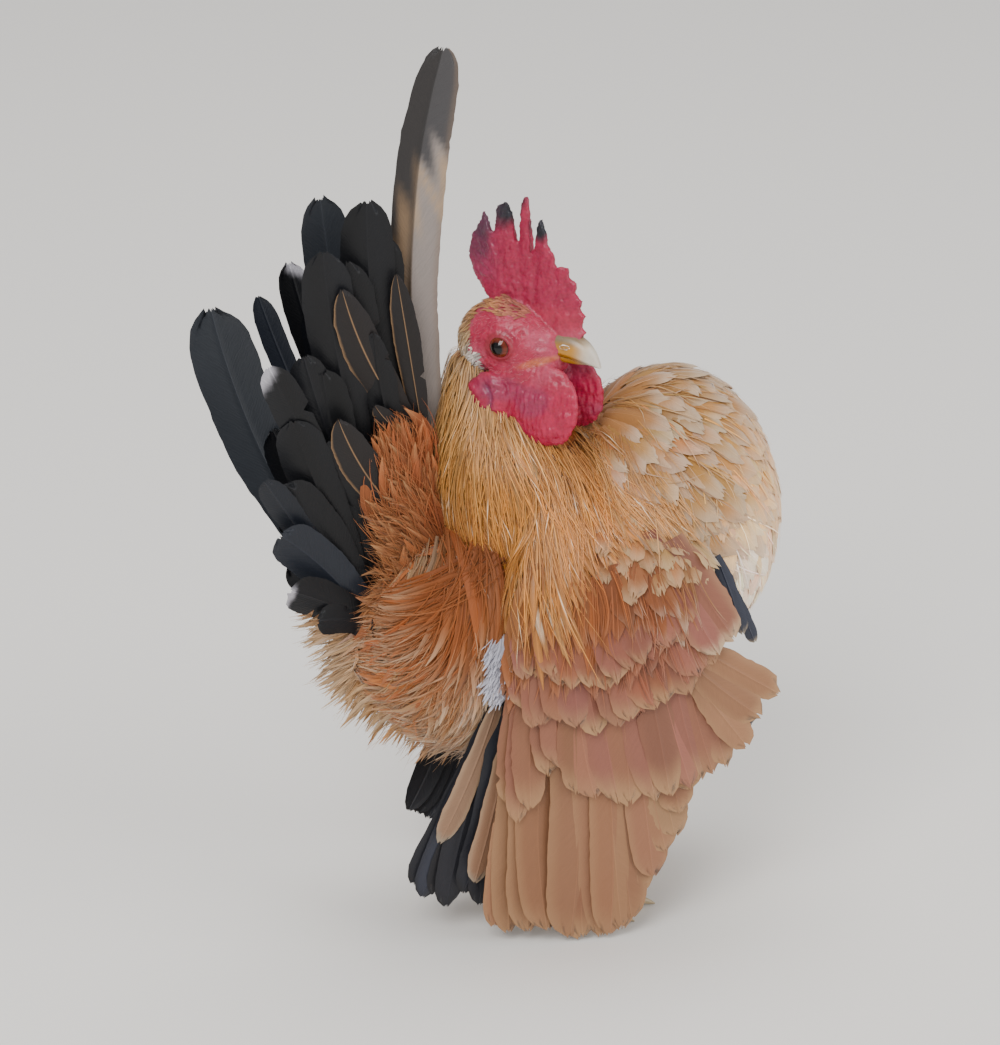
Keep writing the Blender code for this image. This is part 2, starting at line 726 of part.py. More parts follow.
def wing_sheet(x, z):
    # Distance of the wing's sheet from the bird's middle plane
    if z > WING_SHOULDER:
        across = WING_HALF_WIDTH * sqrt(1 - ((z - WING_SHOULDER) / WING_TOP_ROUND) ** 2)
    else:
        across = WING_HALF_WIDTH - WING_TOE_IN * ((WING_SHOULDER - z) / WING_SHOULDER) ** 1.6
    return across * (1 - WING_WRAP * ((x - WING_MIDDLE) / WING_WRAP_REACH) ** 2)


def wing_place(side):
    def place(x, z, n):
        return (x, side * (wing_sheet(x, z) + n), z)
    return place


def make_wing(name, side):
    place = wing_place(side)
    arm = slab(place, through(ARM_OUTLINE, ARM_ROWS), ARM_LEVELS, WING_SALMON, ARM_COLUMNS)
    arm.name = "wing_" + name
    coverts = [vane for row in COVERT_ROWS for vane in row_of_vanes(place, row, WING_SALMON)]
    fused(arm, coverts)
    finish(arm, 30)

    (rear, high), (front, _) = SECONDARIES["roots"]
    bar_rows = [(z, rear - 3 * MM, front + 3 * MM) for z in (high - 7 * MM, high + 2.4 * MM)]
    secondaries = slab(place, bar_rows, (0.7 * MM, 3.1 * MM), WING_SALMON, 6)
    secondaries.name = "secondaries_" + name
    fused(secondaries, row_of_vanes(place, SECONDARIES, WING_SALMON))
    finish(flat_on_floor(secondaries), 30)

    (rear, low), (front, high) = PRIMARIES["roots"]
    hand_rows = [(low - 8 * MM, rear - 8 * MM, front - 6 * MM), (low, rear - 2 * MM, front),
                 (high, rear + 2 * MM, front + 3 * MM), (high + 5 * MM, rear + 5 * MM, front)]
    primaries = slab(place, hand_rows, (-3.2 * MM, -0.3 * MM), FEATHER_BLACK, 4)
    primaries.name = "primaries_" + name
    fused(primaries, row_of_vanes(place, PRIMARIES, FEATHER_BLACK, LONG_TIP))
    finish(flat_on_floor(primaries), 30)
    return arm, secondaries, primaries


# Tail

def tail_spread(angle):
    first, last = TAIL_SPAN
    share = min(max((angle - first) / (last - first), -0.3), 1.15)
    return TAIL_SPREAD[0] + (TAIL_SPREAD[1] - TAIL_SPREAD[0]) * share


def tail_place(side):
    def place(x, z, n):
        dx, dz = x - TAIL_ROOT[0], z - TAIL_ROOT[2]
        radius = sqrt(dx * dx + dz * dz)
        angle = degrees(atan2(dz, dx)) % 360
        return (x, side * (TAIL_INSIDE + radius * tail_spread(angle) + n), z)
    return place


def on_fan(angle, radius):
    return (TAIL_ROOT[0] + radius * cos(radians(angle)), TAIL_ROOT[2] + radius * sin(radians(angle)))


def make_fan(name, side, feathers, half, level, root, paint, profile, bow):
    place = tail_place(side)
    base = []
    for angle, _ in feathers:
        radii = (7 * MM, root + 4 * MM)
        low, high = (on_fan(angle, r) for r in radii)
        thick = 1.5 * MM
        base.append([place(*low, level - thick), place(*high, level - thick),
                     place(*high, level + thick), place(*low, level + thick)])
    block = skinned(name, base, paint, thin=True)
    vanes = []
    for i, (angle, length) in enumerate(feathers):
        near = feathers[min(i + 1, len(feathers) - 1)][0] - feathers[max(i - 1, 0)][0]
        near = radians(near) / (2 if 0 < i < len(feathers) - 1 else 1)
        lean = VANE_STEP / (near * length * 0.45)
        vanes.append(sheet_vane(place, on_fan(angle, root), on_fan(angle, length), half,
                                (level, level), min(lean, 0.22), paint, profile, 0.0, bow * length))
    return fused(block, vanes)


# The upright feather in the middle of the tail

def make_sickle():
    def place(x, z, n):
        return (x, n, z)
    root, tip = on_fan(SICKLE_ANGLE, 22 * MM), on_fan(SICKLE_ANGLE, SICKLE_LENGTH)
    profile = ((0.0, 0.35), (0.15, 0.55), (0.4, 0.8), (0.7, 1.0), (0.9, 0.9), (0.98, 0.6), (1.0, 0.25))
    sickle = sheet_vane(place, root, tip, SICKLE_HALF_WIDTH, (0, 0), 0.0, FEATHER_TAN, profile, 0.35 * MM, 2 * MM)
    sickle.name = "sickle"
    return sickle


# Hackles and saddle

def neck_at(height):
    stations = np.array(NECK_STATIONS)
    return [float(np.interp(height, stations[:, 0], stations[:, k])) for k in (1, 2, 3, 4)]


def neck_point(height, turn):
    x, y, along, across = neck_at(height)
    return Vector((x + along * cos(turn), y + across * sin(turn), height))


def turned_away(turn, heading):
    # Degrees between a turn about the neck and a heading
    return abs((degrees(turn) - heading + 180) % 360 - 180)


def make_hackle(neck, trees):
    vanes = []
    for row, (height, count, length, half) in enumerate(HACKLE_ROWS):
        _, _, along, across = neck_at(height)
        spacing = pi * (along + across) / count
        for k in range(count):
            turn = 2 * pi * (k + 0.5 * (row % 2)) / count
            if row == 0 and turned_away(turn, HEAD_YAW) < FACE_TURN:
                continue
            if row == 2 and turned_away(turn, 0) < BREAST_TURN:
                continue
            out = Vector((cos(turn) / along, sin(turn) / across, 0)).normalized()
            root = neck_point(height, turn)
            ahead = (neck_point(height - 15 * MM, turn) - root).normalized()
            normal = (out - ahead * out.dot(ahead)).normalized()
            reach = length * (0.72 + 0.28 * abs(sin(turn))) * (0.8 if cos(turn) < -0.6 else 1.0)
            vanes.append(free_vane(root, ahead, normal, reach, half, HACKLE_GOLD, VANE_STEP / spacing,
                                   HACKLE_RISE, 0.0, HACKLE_SUNK, trees))
    return fused(neck, vanes)


def torso_at(x):
    stations = np.array(TORSO_STATIONS)
    return [float(np.interp(x, stations[:, 0], stations[:, k])) for k in (1, 2, 3)]


def make_saddle(torso, trees):
    vanes = []
    for row, (x, start, end, count, length, half) in enumerate(SADDLE_ROWS):
        z, tall, wide = torso_at(x)
        behind = torso_at(x - 12 * MM) if x > -50 * MM else (z - 2 * MM, tall * 0.5, wide * 0.5)
        for side in (-1, 1):
            for k in range(count):
                turn = radians(start + (end - start) * (k + 0.4 * (row % 2)) / (count - 1))
                root = Vector((x, side * wide * sin(turn), z + tall * cos(turn)))
                back = Vector((x - 12 * MM, side * behind[2] * sin(turn), behind[0] + behind[1] * cos(turn)))
                out = Vector((0, side * sin(turn) / wide, cos(turn) / tall)).normalized()
                ahead = (back - root).normalized() + Vector((0, 0, -0.85 * sin(turn)))
                ahead = (ahead - out * ahead.dot(out)).normalized()
                vanes.append(free_vane(root, ahead, out, length, half, BREAST_CREAM, side * 0.14,
                                       0.16, 0.10, 1.8 * MM, trees))
    return fused(torso, vanes)


# Legs

def stepped_tube(name, path, radii, paint, sides=8, up=(0, 0, 1)):
    # A tube along path with a radius at each point
    path = [Vector(p) for p in path]
    rings = []
    for i, (point, radius) in enumerate(zip(path, radii)):
        ahead = (path[min(i + 1, len(path) - 1)] - path[max(i - 1, 0)]).normalized()
        across = ahead.cross(Vector(up)).normalized()
        over = across.cross(ahead).normalized()
        rings.append(round_section(point, over * radius, across * radius, sides))
    return skinned(name, rings, paint)


def leg_point(side_view, side, out=LEG_OUT):
    return Vector((side_view[0], side * out, side_view[1]))


def shank_path():
    # Points down the shank and their radii, with a step at each scute
    path, radii = [], []
    for i in range(SCUTES):
        for t, step in ((i / SCUTES, SCUTE_STEP), ((i + 0.92) / SCUTES, 0.0)):
            swell = HOCK_SWELL * max(0, 1 - t * 4) + FOOT_SWELL * max(0, t * 4 - 3)
            path.append((HOCK[0] + (FOOT[0] - HOCK[0]) * t, HOCK[1] + (FOOT[1] - HOCK[1]) * t))
            radii.append(SHANK_RADIUS + step + swell)
    path.append((FOOT[0] + 1.5 * MM, FOOT[1] - 4.2 * MM))
    radii.append(SHANK_RADIUS * 1.15)
    return path, radii


def make_toe(foot, turn, side, length, radius):
    ahead = Vector((cos(radians(turn)), side * sin(radians(turn)), 0))
    joints = max(2, round(length / TOE_JOINT))
    path, radii = [], []
    for j in range(joints):
        for t, bulge in ((0.12, 1.05), (0.9, 0.88)):
            share = (j + t) / joints
            thick = radius * bulge * (1 - 0.28 * share)
            path.append(foot + ahead * length * share + Vector((0, 0, thick * TOE_PRESS)))
            radii.append(thick)
    path.insert(0, foot + Vector((0, 0, radius)))
    radii.insert(0, radius)
    toe = stepped_tube("toe", path, radii, LEG_YELLOW, 6)
    return toe, foot + ahead * length, ahead


def make_claw(name, tip, ahead, radius, leg):
    path = [
        tip + ahead * (CLAW_LENGTH * t - 2.6 * MM) + Vector((0, 0, radius * (0.8 - 0.62 * t * t)))
        for t in (0, 0.35, 0.7, 1.0)
    ]
    claw = stepped_tube(name, path, [1.35 * MM, 1.25 * MM, 0.85 * MM, 0.3 * MM], CLAW_HORN, 6)
    return finish(flat_on_floor(cut_clear(claw, leg)))


def make_leg(name, side, torso):
    hip, hock, foot = (leg_point(p, side) for p in (HIP, HOCK, FOOT))
    thigh_path = [hip.lerp(hock, t) for t in np.linspace(0, 1, len(THIGH_RADII))]
    thigh = stepped_tube("thigh_" + name, thigh_path, THIGH_RADII, HACKLE_GOLD, 12, (1, 0, 0))
    cut_clear(thigh, torso)
    path, radii = shank_path()
    path = [leg_point(p, side) for p in path]
    leg = stepped_tube("foot_" + name, path, radii, LEG_YELLOW, 8, (1, 0, 0))
    ground = Vector((foot.x, foot.y, 0))
    made = [make_toe(ground, turn, side, length, radius) for _, turn, length, radius in TOES]
    fused(leg, [toe for toe, _, _ in made])
    cut_clear(leg, thigh)
    flat_on_floor(leg)
    for (toe_name, _, _, radius), (_, tip, ahead) in zip(TOES, made):
        make_claw(f"claw_{toe_name}_{name}", tip, ahead, radius, leg)
    middle = hock.lerp(foot, SPUR_PLACE)
    out = Vector((-0.75, -0.6 * side, 0.1)).normalized()
    spur_path = [middle + out * (1.2 * MM + SPUR_LENGTH * t) + Vector((0, 0, 1.2 * MM * t * t)) for t in (0, 0.5, 1)]
    spur = stepped_tube("spur_" + name, spur_path, [1.8 * MM, 1.3 * MM, 0.35 * MM], CLAW_HORN, 7)
    finish(cut_clear(spur, leg))
    finish(leg)
    return finish(thigh)


def centre_on_floor():
    # Moves everything so that the middle of the box's underside is at zero
    parts = [thing for thing in bpy.data.objects if thing.type == "MESH" and not thing.hide_render]
    points = np.array([v.co[:] for thing in parts for v in thing.data.vertices])
    low, high = points.min(axis=0), points.max(axis=0)
    move = Vector((-(low[0] + high[0]) / 2, -(low[1] + high[1]) / 2, -low[2]))
    for thing in parts:
        thing.data.transform(Matrix.Translation(move))


def trees_of(pieces):
    return [tree_of(piece) for piece in pieces]


def make_tails():
    made = [make_sickle()]
    for name, side in SIDES:
        made.append(make_fan("tail_" + name, side, TAIL_FEATHERS[name], TAIL_HALF_WIDTH, TAIL_LEVEL, TAIL_BASE,
                             FEATHER_BLACK, LONG_TIP, TAIL_BOW))
        made.append(make_fan("tail_coverts_" + name, side, TAIL_COVERTS, TAIL_COVERT_HALF_WIDTH,
                             TAIL_COVERT_LEVEL, TAIL_BASE, FEATHER_BLACK, POINTED_TIP, TAIL_COVERT_BOW))
    return made


def main():
    torso = make_torso()
    eyes = [eye("eye_" + name, side) for name, side in SIDES]
    head = make_head(eyes)
    beak_upper, beak_lower = make_beak(head)
    make_comb(head, beak_upper)
    wattles = make_wattles((head, beak_lower, torso))
    lobes = make_earlobes((head, wattles))
    wings = [piece for name, side in SIDES for piece in make_wing(name, side)]
    thighs = [make_leg(name, side, torso) for name, side in SIDES]
    tails = make_tails()
    for tail in tails:
        cut_clear(tail, torso)
    neck = make_neck()
    neighbours = [torso, head, *wattles, *lobes, *wings, *tails]
    make_hackle(neck, trees_of(neighbours))
    cut_clear(neck, *neighbours)
    neighbours = [neck, *wings, *tails, *thighs]
    make_saddle(torso, trees_of(neighbours))
    cut_clear(torso, *neighbours)
    for piece in (torso, neck, *tails):
        finish(piece, 30)
    centre_on_floor()


main()
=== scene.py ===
from functools import partial
from math import cos, pi, radians, sin, sqrt

import bpy
import numpy as np
from mathutils import Matrix, Vector, noise
from mathutils.bvhtree import BVHTree


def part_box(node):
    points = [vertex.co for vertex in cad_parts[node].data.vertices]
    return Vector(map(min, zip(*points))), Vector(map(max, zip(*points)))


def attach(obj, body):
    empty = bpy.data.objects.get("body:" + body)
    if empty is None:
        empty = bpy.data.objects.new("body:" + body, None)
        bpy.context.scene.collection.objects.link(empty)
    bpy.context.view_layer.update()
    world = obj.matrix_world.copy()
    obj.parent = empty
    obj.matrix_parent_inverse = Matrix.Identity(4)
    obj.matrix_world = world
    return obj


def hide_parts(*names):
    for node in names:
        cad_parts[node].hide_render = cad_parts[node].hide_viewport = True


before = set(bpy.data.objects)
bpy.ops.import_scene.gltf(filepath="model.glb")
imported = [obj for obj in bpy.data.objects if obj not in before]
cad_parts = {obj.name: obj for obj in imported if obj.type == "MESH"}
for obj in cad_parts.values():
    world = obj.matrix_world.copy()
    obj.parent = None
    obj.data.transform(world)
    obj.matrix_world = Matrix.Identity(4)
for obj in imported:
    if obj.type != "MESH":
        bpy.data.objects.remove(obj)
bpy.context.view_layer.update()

# A serama cock, life size. Everything is worked out in millimetres in a drawing frame: x to the
# breast, y to the bird's left, z up. The eye's place in the solids gives the move to the row frame.

headPlace = {"spot": (-15.0, -4.0, 190.5), "yaw": -42.0, "eyeOut": 8.1}
headFrame = Matrix.Translation(headPlace["spot"]) @ Matrix.Rotation(radians(headPlace["yaw"]), 4, "Z")
headTurn, headSpot = np.array(headFrame.to_3x3()), np.array(headFrame.translation)
eyeLow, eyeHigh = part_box("eye_R")
toRow = np.array((eyeLow + eyeHigh) / 2) * 1000 - np.array(headFrame @ Vector((0, -headPlace["eyeOut"], 0)))
floorGap = 0.05  # nothing comes closer to the floor than this

# The photo's view: grain is millimetres for each pixel, middle the photo's middle pixel
view = {"azimuth": radians(-12), "elevation": radians(22), "distance": 1.3, "aim": np.array((-19.5, 0.0, 128.4)),
        "lens": 144.5, "grain": 0.31, "middle": (500, 522.5)}


def linear(code):  # sRGB hex to linear
    channels = np.array([int(code[i:i + 2], 16) / 255 for i in (1, 3, 5)])
    return np.where(channels <= 0.04045, channels / 12.92, ((channels + 0.055) / 1.055) ** 2.4)


def deep(colours, light=0.67):  # the renderer's film look pales colours, so they go in darker and fuller
    return np.clip(colours, 0.0, 1.6) ** 1.12 * light * (1.0, 1.01, 1.05)


def mixed(colour, other, share):
    return colour * (1 - share) + (linear(other) if isinstance(other, str) else other) * share


def toned(draw, count, spread, low=0.6, high=1.5):  # one lighter or darker tone for each feather
    return np.clip(1 + spread * draw.normal(size=(count, 1, 1, 1)), low, high)


def unit(vectors):
    return vectors / np.maximum(np.linalg.norm(vectors, axis=-1, keepdims=True), 1e-9)


def eased(values, low, high):
    share = np.clip((np.asarray(values, float) - low) / (high - low), 0, 1)
    return share * share * (3 - 2 * share)


def turns(count):
    return np.linspace(0, 2 * pi, count, endpoint=False)


def ripple(points, size, seed, waves=7):  # soft noise from -1 to 1 with features of that size in mm
    draw = np.random.default_rng(seed)
    total = 0
    for _ in range(waves):
        way = unit(draw.normal(size=3)) * 2 * pi / (size * draw.uniform(1.2, 2.6))
        total = total + np.sin(np.asarray(points) @ way + draw.uniform(0, 2 * pi))
    return total / sqrt(waves)


def inHead(points):
    return np.asarray(points, float) @ headTurn.T + headSpot


def fromHead(points):
    return (np.asarray(points, float) - headSpot) @ headTurn


# Meshes


def newObject(name, points, faces, paint=None):
    mesh = bpy.data.meshes.new(name)
    mesh.from_pydata(np.asarray(points).tolist(), [], faces.tolist() if isinstance(faces, np.ndarray) else faces)
    mesh.polygons.foreach_set("use_smooth", np.full(len(mesh.polygons), bool(paint)))
    if paint:
        mesh.materials.append(paint)
    made = bpy.data.objects.new(name, mesh)
    bpy.context.scene.collection.objects.link(made)
    return made


def addColours(mesh, colours):
    full = np.insert(colours, 3, 1, axis=1)
    mesh.attributes.new("plumage", "FLOAT_COLOR", "POINT").data.foreach_set("color", full.ravel())


def finished(made, replaced=()):
    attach(made, "root")
    if replaced:
        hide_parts(*replaced)


def meshPiece(name, points, faces, paint, replaced=(), colours=None, vane=None, uv=None):
    # points in drawing millimetres, faces all with four corners
    points = np.array(points, float).reshape(-1, 3)
    points[:, 2] = np.maximum(points[:, 2], floorGap - toRow[2])
    made = newObject(name, (points + toRow) / 1000, faces, paint)
    mesh = made.data
    if vane is not None:
        mesh.attributes.new("vane", "FLOAT_VECTOR", "POINT").data.foreach_set("vector", vane.ravel())
    if colours is not None:
        addColours(mesh, colours)
    if uv is not None:
        mesh.uv_layers.new(name="OFBake").data.foreach_set("uv", uv[faces.ravel()].ravel())
    mesh.validate()
    finished(made, replaced)
    print(name, 2 * len(faces), "triangles")


def gridFaces(rows, sides, closed=False):
    i, k = np.meshgrid(np.arange(rows - 1), np.arange(sides - (not closed)), indexing="ij")
    a, b = i * sides + k, i * sides + (k + 1) % sides
    return np.stack([a, b, b + sides, a + sides], -1).reshape(-1, 4)


def through(stations, count):  # rows read from a smooth curve through the stations
    stations = np.asarray(stations, float)
    padded = np.vstack([2 * stations[0] - stations[1], stations, 2 * stations[-1] - stations[-2]])
    u = np.linspace(0, len(stations) - 1, count)
    i = np.minimum(u.astype(int), len(stations) - 2)
    t = (u - i)[:, None]
    p0, p1, p2, p3 = (padded[i + k] for k in range(4))
    return 0.5 * (2 * p1 + (p2 - p0) * t + (2 * p0 - 5 * p1 + 4 * p2 - p3) * t**2
                  + (3 * p1 - p0 - 3 * p2 + p3) * t**3)


def tube(rings):  # a closed loose mesh: quads with a fan at each end
    rings = np.asarray(rings, float)
    count, sides = rings.shape[:2]
    points = np.vstack([rings.reshape(-1, 3), rings[0].mean(0), rings[-1].mean(0)])
    first, last = len(points) - 2, (count - 1) * sides
    fans = [face for k in range(sides) for face in ((first, (k + 1) % sides, k),
                                                    (first + 1, last + k, last + (k + 1) % sides))]
    return points, gridFaces(count, sides, True).tolist() + fans


def evaluated(work):
    bpy.context.view_layer.update()
    return bpy.data.meshes.new_from_object(work.evaluated_get(bpy.context.evaluated_depsgraph_get()))


def readOut(items, field, width, kind=float):
    values = np.zeros(len(items) * width, kind)
    items.foreach_get(field, values)
    return values


def remeshed(pieces, voxel, rounds):
    # Loose closed meshes as one skin: its points, quads and normals
    faces, start = [], 0
    for points, corners in pieces:
        faces += [[c + start for c in face] for face in corners]
        start += len(points)
    work = newObject("form", np.vstack([points for points, _ in pieces]), faces)
    change = work.modifiers.new("voxels", "REMESH")
    change.mode = "VOXEL"
    change.voxel_size = voxel
    ease = work.modifiers.new("ease", "SMOOTH")
    ease.factor, ease.iterations = 0.5, rounds
    result = evaluated(work)
    bpy.data.objects.remove(work)
    return (readOut(result.vertices, "co", 3).reshape(-1, 3),
            readOut(result.loops, "vertex_index", 1, int).reshape(-1, 4),
            readOut(result.vertices, "normal", 3).reshape(-1, 3))


def treeOf(points, faces, *_):
    return BVHTree.FromPolygons([Vector(p) for p in points], [tuple(f) for f in faces])


# Materials


def addNode(tree, kind, *inputs, out=0, **settings):
    # A shader node, or a maths one named by its operation; a value that is another node's output is linked
    if kind.isupper():
        kind, settings["operation"] = "Math", kind
    node = tree.nodes.new("ShaderNode" + kind)
    for key, value in (*enumerate(inputs), *settings.items()):
        if isinstance(key, str) and key not in node.inputs:
            setattr(node, key, value)
        elif isinstance(value, bpy.types.NodeSocket):
            tree.links.new(value, node.inputs[key])
        else:
            node.inputs[key].default_value = value
    return node.outputs[out]


def newMaterial(name, settings):
    made = bpy.data.materials.new(name)
    made.use_nodes = True
    shader = made.node_tree.nodes["Principled BSDF"]
    for key, value in settings.items():
        shader.inputs[key].default_value = value
    return made, partial(addNode, made.node_tree), partial(linkedTo, made.node_tree, shader)


def linkedTo(tree, shader, name, source):
    tree.links.new(source, shader.inputs[name])


def surfaced(node, link, colour, light, height, strength, depth):
    # A colour made lighter and darker by a pattern, with a relief of that depth in millimetres
    link("Base Color", node("VectorMath", colour, operation="SCALE", Scale=light) if light else colour)
    link("Normal", node("Bump", Strength=strength, Distance=depth / 1000, Height=height))


# Barbs: spacing in mm, groove, tone, waver. Shaft: half width in mm, tone. Relief in mm
vanePaints = {
    # body feathers: matt and downy, with a soft pale sheen at grazing angles
    "softContourFeather": ((0.75, 0.3, 0.15, 0.8), (0.18, 0.22), 0.07,
                           {"Roughness": 0.62, "Sheen Weight": 0.35, "Sheen Roughness": 0.4,
                            "Specular IOR Level": 0.3}),
    # hackle: fine barbs with a silky gloss along each narrow feather
    "glossyHackleFeather": ((0.5, 0.3, 0.2, 0.6), (0.14, 0.3), 0.05,
                            {"Roughness": 0.42, "Sheen Weight": 0.06, "Specular IOR Level": 0.5}),
    # wing: smooth closed vanes, a dull satin
    "satinWingFeather": ((0.7, 0.3, 0.11, 0.5), (0.22, 0.22), 0.06,
                         {"Roughness": 0.5, "Sheen Weight": 0.1, "Specular IOR Level": 0.35}),
    # the tall feather: satin with a dark shaft
    "satinTailFeather": ((0.8, 0.4, 0.14, 0.4), (0.35, -0.4), 0.08, {"Roughness": 0.5, "Sheen Weight": 0.1}),
    # tail: near black with a cold blue gloss
    "glossyBlackFeather": ((0.8, 0.4, 0.22, 0.4), (0.3, 0.5), 0.07,
                           {"Roughness": 0.45, "Specular IOR Level": 0.3, "Sheen Weight": 0.03,
                            "Sheen Tint": (0.6, 0.72, 1.0, 1.0)}),
}


def vanePaint(name):
    # Keratin barbs side by side on a shaft, drawn coarser than the real 0.25 mm so that they show
    (spacing, groove, tone, waver), (shaftWidth, shaftTone), relief, settings = vanePaints[name]
    made, node, link = newMaterial(name, settings)
    dye = node("Attribute", attribute_name="plumage")
    place = node("Attribute", attribute_name="vane", out="Vector")
    x, y, seed = node("SeparateXYZ", place, out=slice(3))
    across = node("ABSOLUTE", x)
    slant = node("SUBTRACT", y, node("MULTIPLY", across, 1.25))
    wobble = node("TexNoise", Scale=0.35, Detail=2.0, Vector=place)
    slant = node("ADD", slant, node("MULTIPLY", wobble, 6.0 * waver))
    barbs = node("SINE", node("MULTIPLY", slant, 2 * pi / (spacing * 1.6)))
    lay = node("CombineXYZ", slant, node("MULTIPLY", across, 0.15), seed)
    strands = node("TexNoise", Scale=1.0 / spacing, Detail=3.0, Roughness=0.7, Vector=lay)
    pattern = node("ADD", node("MULTIPLY", barbs, groove * 0.4),
                   node("MULTIPLY", node("SUBTRACT", strands, 0.5), 2.2))
    shaft = node("SUBTRACT", 1.0, node("DIVIDE", across, shaftWidth), use_clamp=True)
    light = node("ADD", node("ADD", node("MULTIPLY", pattern, tone), 1.0), node("MULTIPLY", shaft, shaftTone))
    surfaced(node, link, dye, light, node("ADD", pattern, node("MULTIPLY", shaft, 1.5)), 0.55, relief)
    return made


softPaint, hacklePaint, wingPaint, tallPaint, tailPaint = (vanePaint(name) for name in vanePaints)


# Feathers: each one is a grid of quads along a line that lies on the body


def followed(tree, roots, flow, lengths, rows, rise, sunk, seed, turn, level, power=1.35):
    # Lines that start at the roots and follow the surface along the flow, lifting slowly off it
    draw = np.random.default_rng(seed)
    count = len(roots)
    steer = radians(turn) * draw.normal(size=count)
    curl = radians(turn) * draw.normal(size=count) * 0.6
    lift = draw.uniform(0.0, level, count)
    spots, smooth = np.array(roots, float), None
    points, normals = [], []
    for t in np.arange(rows + 1) / rows:
        found = [tree.find_nearest(Vector(p)) for p in spots]
        spots = np.array([f[0] for f in found])
        fresh = np.array([f[1] for f in found])
        smooth = fresh if smooth is None else unit(smooth * 0.55 + fresh * 0.45)
        way = flow(spots)
        way = unit(way - smooth * (way * smooth).sum(-1, keepdims=True))
        angle = (steer + curl * t * 2)[:, None]
        way = way * np.cos(angle) + np.cross(smooth, way) * np.sin(angle)
        height = -sunk * (1 - t) ** 2 + lift + rise * lengths * t**power
        points.append(spots + smooth * height[:, None])
        normals.append(smooth)
        spots = spots + way * (lengths / rows)[:, None]
    return {"points": np.stack(points, 1), "normals": np.stack(normals, 1), "lengths": lengths, "roots": roots}


def drawnLines(place, side, roots, tips, levels, rows, bow=0.0, curl=0.0):
    # Lines on a sheet from root to tip in side view, with a level off the sheet at each end
    t = np.linspace(0, 1, rows + 1)[None, :]
    low, high, bow, curl = (np.broadcast_to(v, len(roots))[:, None] for v in (*levels, bow, curl))
    span = tips - roots
    across = np.stack([-span[:, 1], span[:, 0]], -1)
    flat = roots[:, None] + span[:, None] * t[..., None] + across[:, None] * (bow * 4 * t * (1 - t))[..., None]
    level = low + (high - low) * t + curl * t**3
    points, outer = (place(flat[..., 0], flat[..., 1], level + more, side) for more in (0, 1.0))
    return {"points": points, "normals": unit(outer - points), "lengths": np.linalg.norm(span, axis=1),
            "roots": points[:, 0]}


def vanes(lines, halves, shape, columns, tint, seed, kind, camber=0.18, fray=0.1, split=0.0, ridge=0.0, tilt=0.0,
          twist=0.0, uneven=0.0, comb=0.0):
    # shape gives the half width along the vane, from (t, share) pairs; tint(t, s, roots, draw) the colours
    draw = np.random.default_rng(seed)
    points, normals = lines["points"], lines["normals"]
    count, rows = points.shape[:2]
    t = np.linspace(0, 1, rows)[None, :, None]
    aheads = unit(np.gradient(points, axis=1))
    acrosses = unit(np.cross(aheads, normals))
    normals = unit(np.cross(acrosses, aheads))
    if twist:
        angle = radians(twist) * draw.normal(size=(count, 1, 1)) * t
        acrosses, normals = (acrosses * np.cos(angle) + normals * np.sin(angle),
                             normals * np.cos(angle) - acrosses * np.sin(angle))
    s = np.linspace(-1, 1, columns + 1)
    if ridge:  # room for the shaft
        s = np.concatenate([np.linspace(-1, -0.06, columns // 2), [0.0], np.linspace(0.06, 1, columns // 2)])
    halves = np.broadcast_to(halves, count)[:, None, None]
    wide = halves * np.interp(t, *np.array(shape, float).T)
    far = np.abs(s)
    sides = (s > 0).astype(int)
    # the outline wanders softly along each side, and single barbs end a little early or late
    waves = sum(np.sin(2 * pi * beats * t + draw.uniform(0, 2 * pi, (count, 1, 2))) for beats in (1.3, 2.9))
    rough = waves[:, :, sides] * fray * 0.30 + draw.normal(size=(count, rows, len(s))) * fray * 0.22
    out = s * wide * (1 + uneven * np.sign(s)) * (1 + rough * far**2)
    teeth = draw.uniform(-1.3, 0.6, (count, 1, len(s))) * fray - comb * (np.arange(len(s)) % 2)
    forward = teeth * 2.2 * halves * t**7
    if split:  # a few barbs part and leave a notch
        gaps = (draw.uniform(size=(count, rows, 2)) < split)[:, :, sides] * eased(far, 0.35, 1.0) * (t > 0.3)
        out = out * (1 - 0.4 * gaps)
    up = tilt * out - camber * wide * far**2 + ridge * (s == 0) * (1 - 0.7 * t)
    grid = (points[:, :, None] + acrosses[:, :, None] * out[..., None] + aheads[:, :, None] * forward[..., None]
            + normals[:, :, None] * up[..., None])
    seeds = draw.uniform(0, 100, (count, 1, 1)) + 0 * out
    t, s = t + 0 * out, s + 0 * out
    uv = skinPlace(lines["roots"], kind)[:, None, None, :] + np.stack([s, 2 * t - 1], -1) * 0.0015
    return {"points": grid, "vane": np.stack([out, t * lines["lengths"][:, None, None], seeds], -1),
            "plumage": np.broadcast_to(tint(t, s, points[:, 0], draw), grid.shape), "uv": uv}


hairShape = ((0, 1), (0.7, 0.9), (1, 0.1))


def hairs(lines, draw, halves, tint, seed, kind, shape=hairShape):
    return vanes(lines, draw.uniform(*halves, len(lines["points"])), shape, 1, tint, seed, kind, 0.0, 0.0)


def coatPiece(name, blocks, paint, slot, *replaced):
    faces, start = [], 0
    for block in blocks:
        count, rows, sides = block["points"].shape[:3]
        faces.append((gridFaces(rows, sides) + start + np.arange(count)[:, None, None] * rows * sides).reshape(-1, 4))
        start += count * rows * sides
    points, vane, plumage, uv = (np.vstack([block[key].reshape(-1, block[key].shape[-1]) for block in blocks])
                                 for key in ("points", "vane", "plumage", "uv"))
    meshPiece(name, points, np.vstack(faces), paint, replaced, deep(plumage), vane, uv)


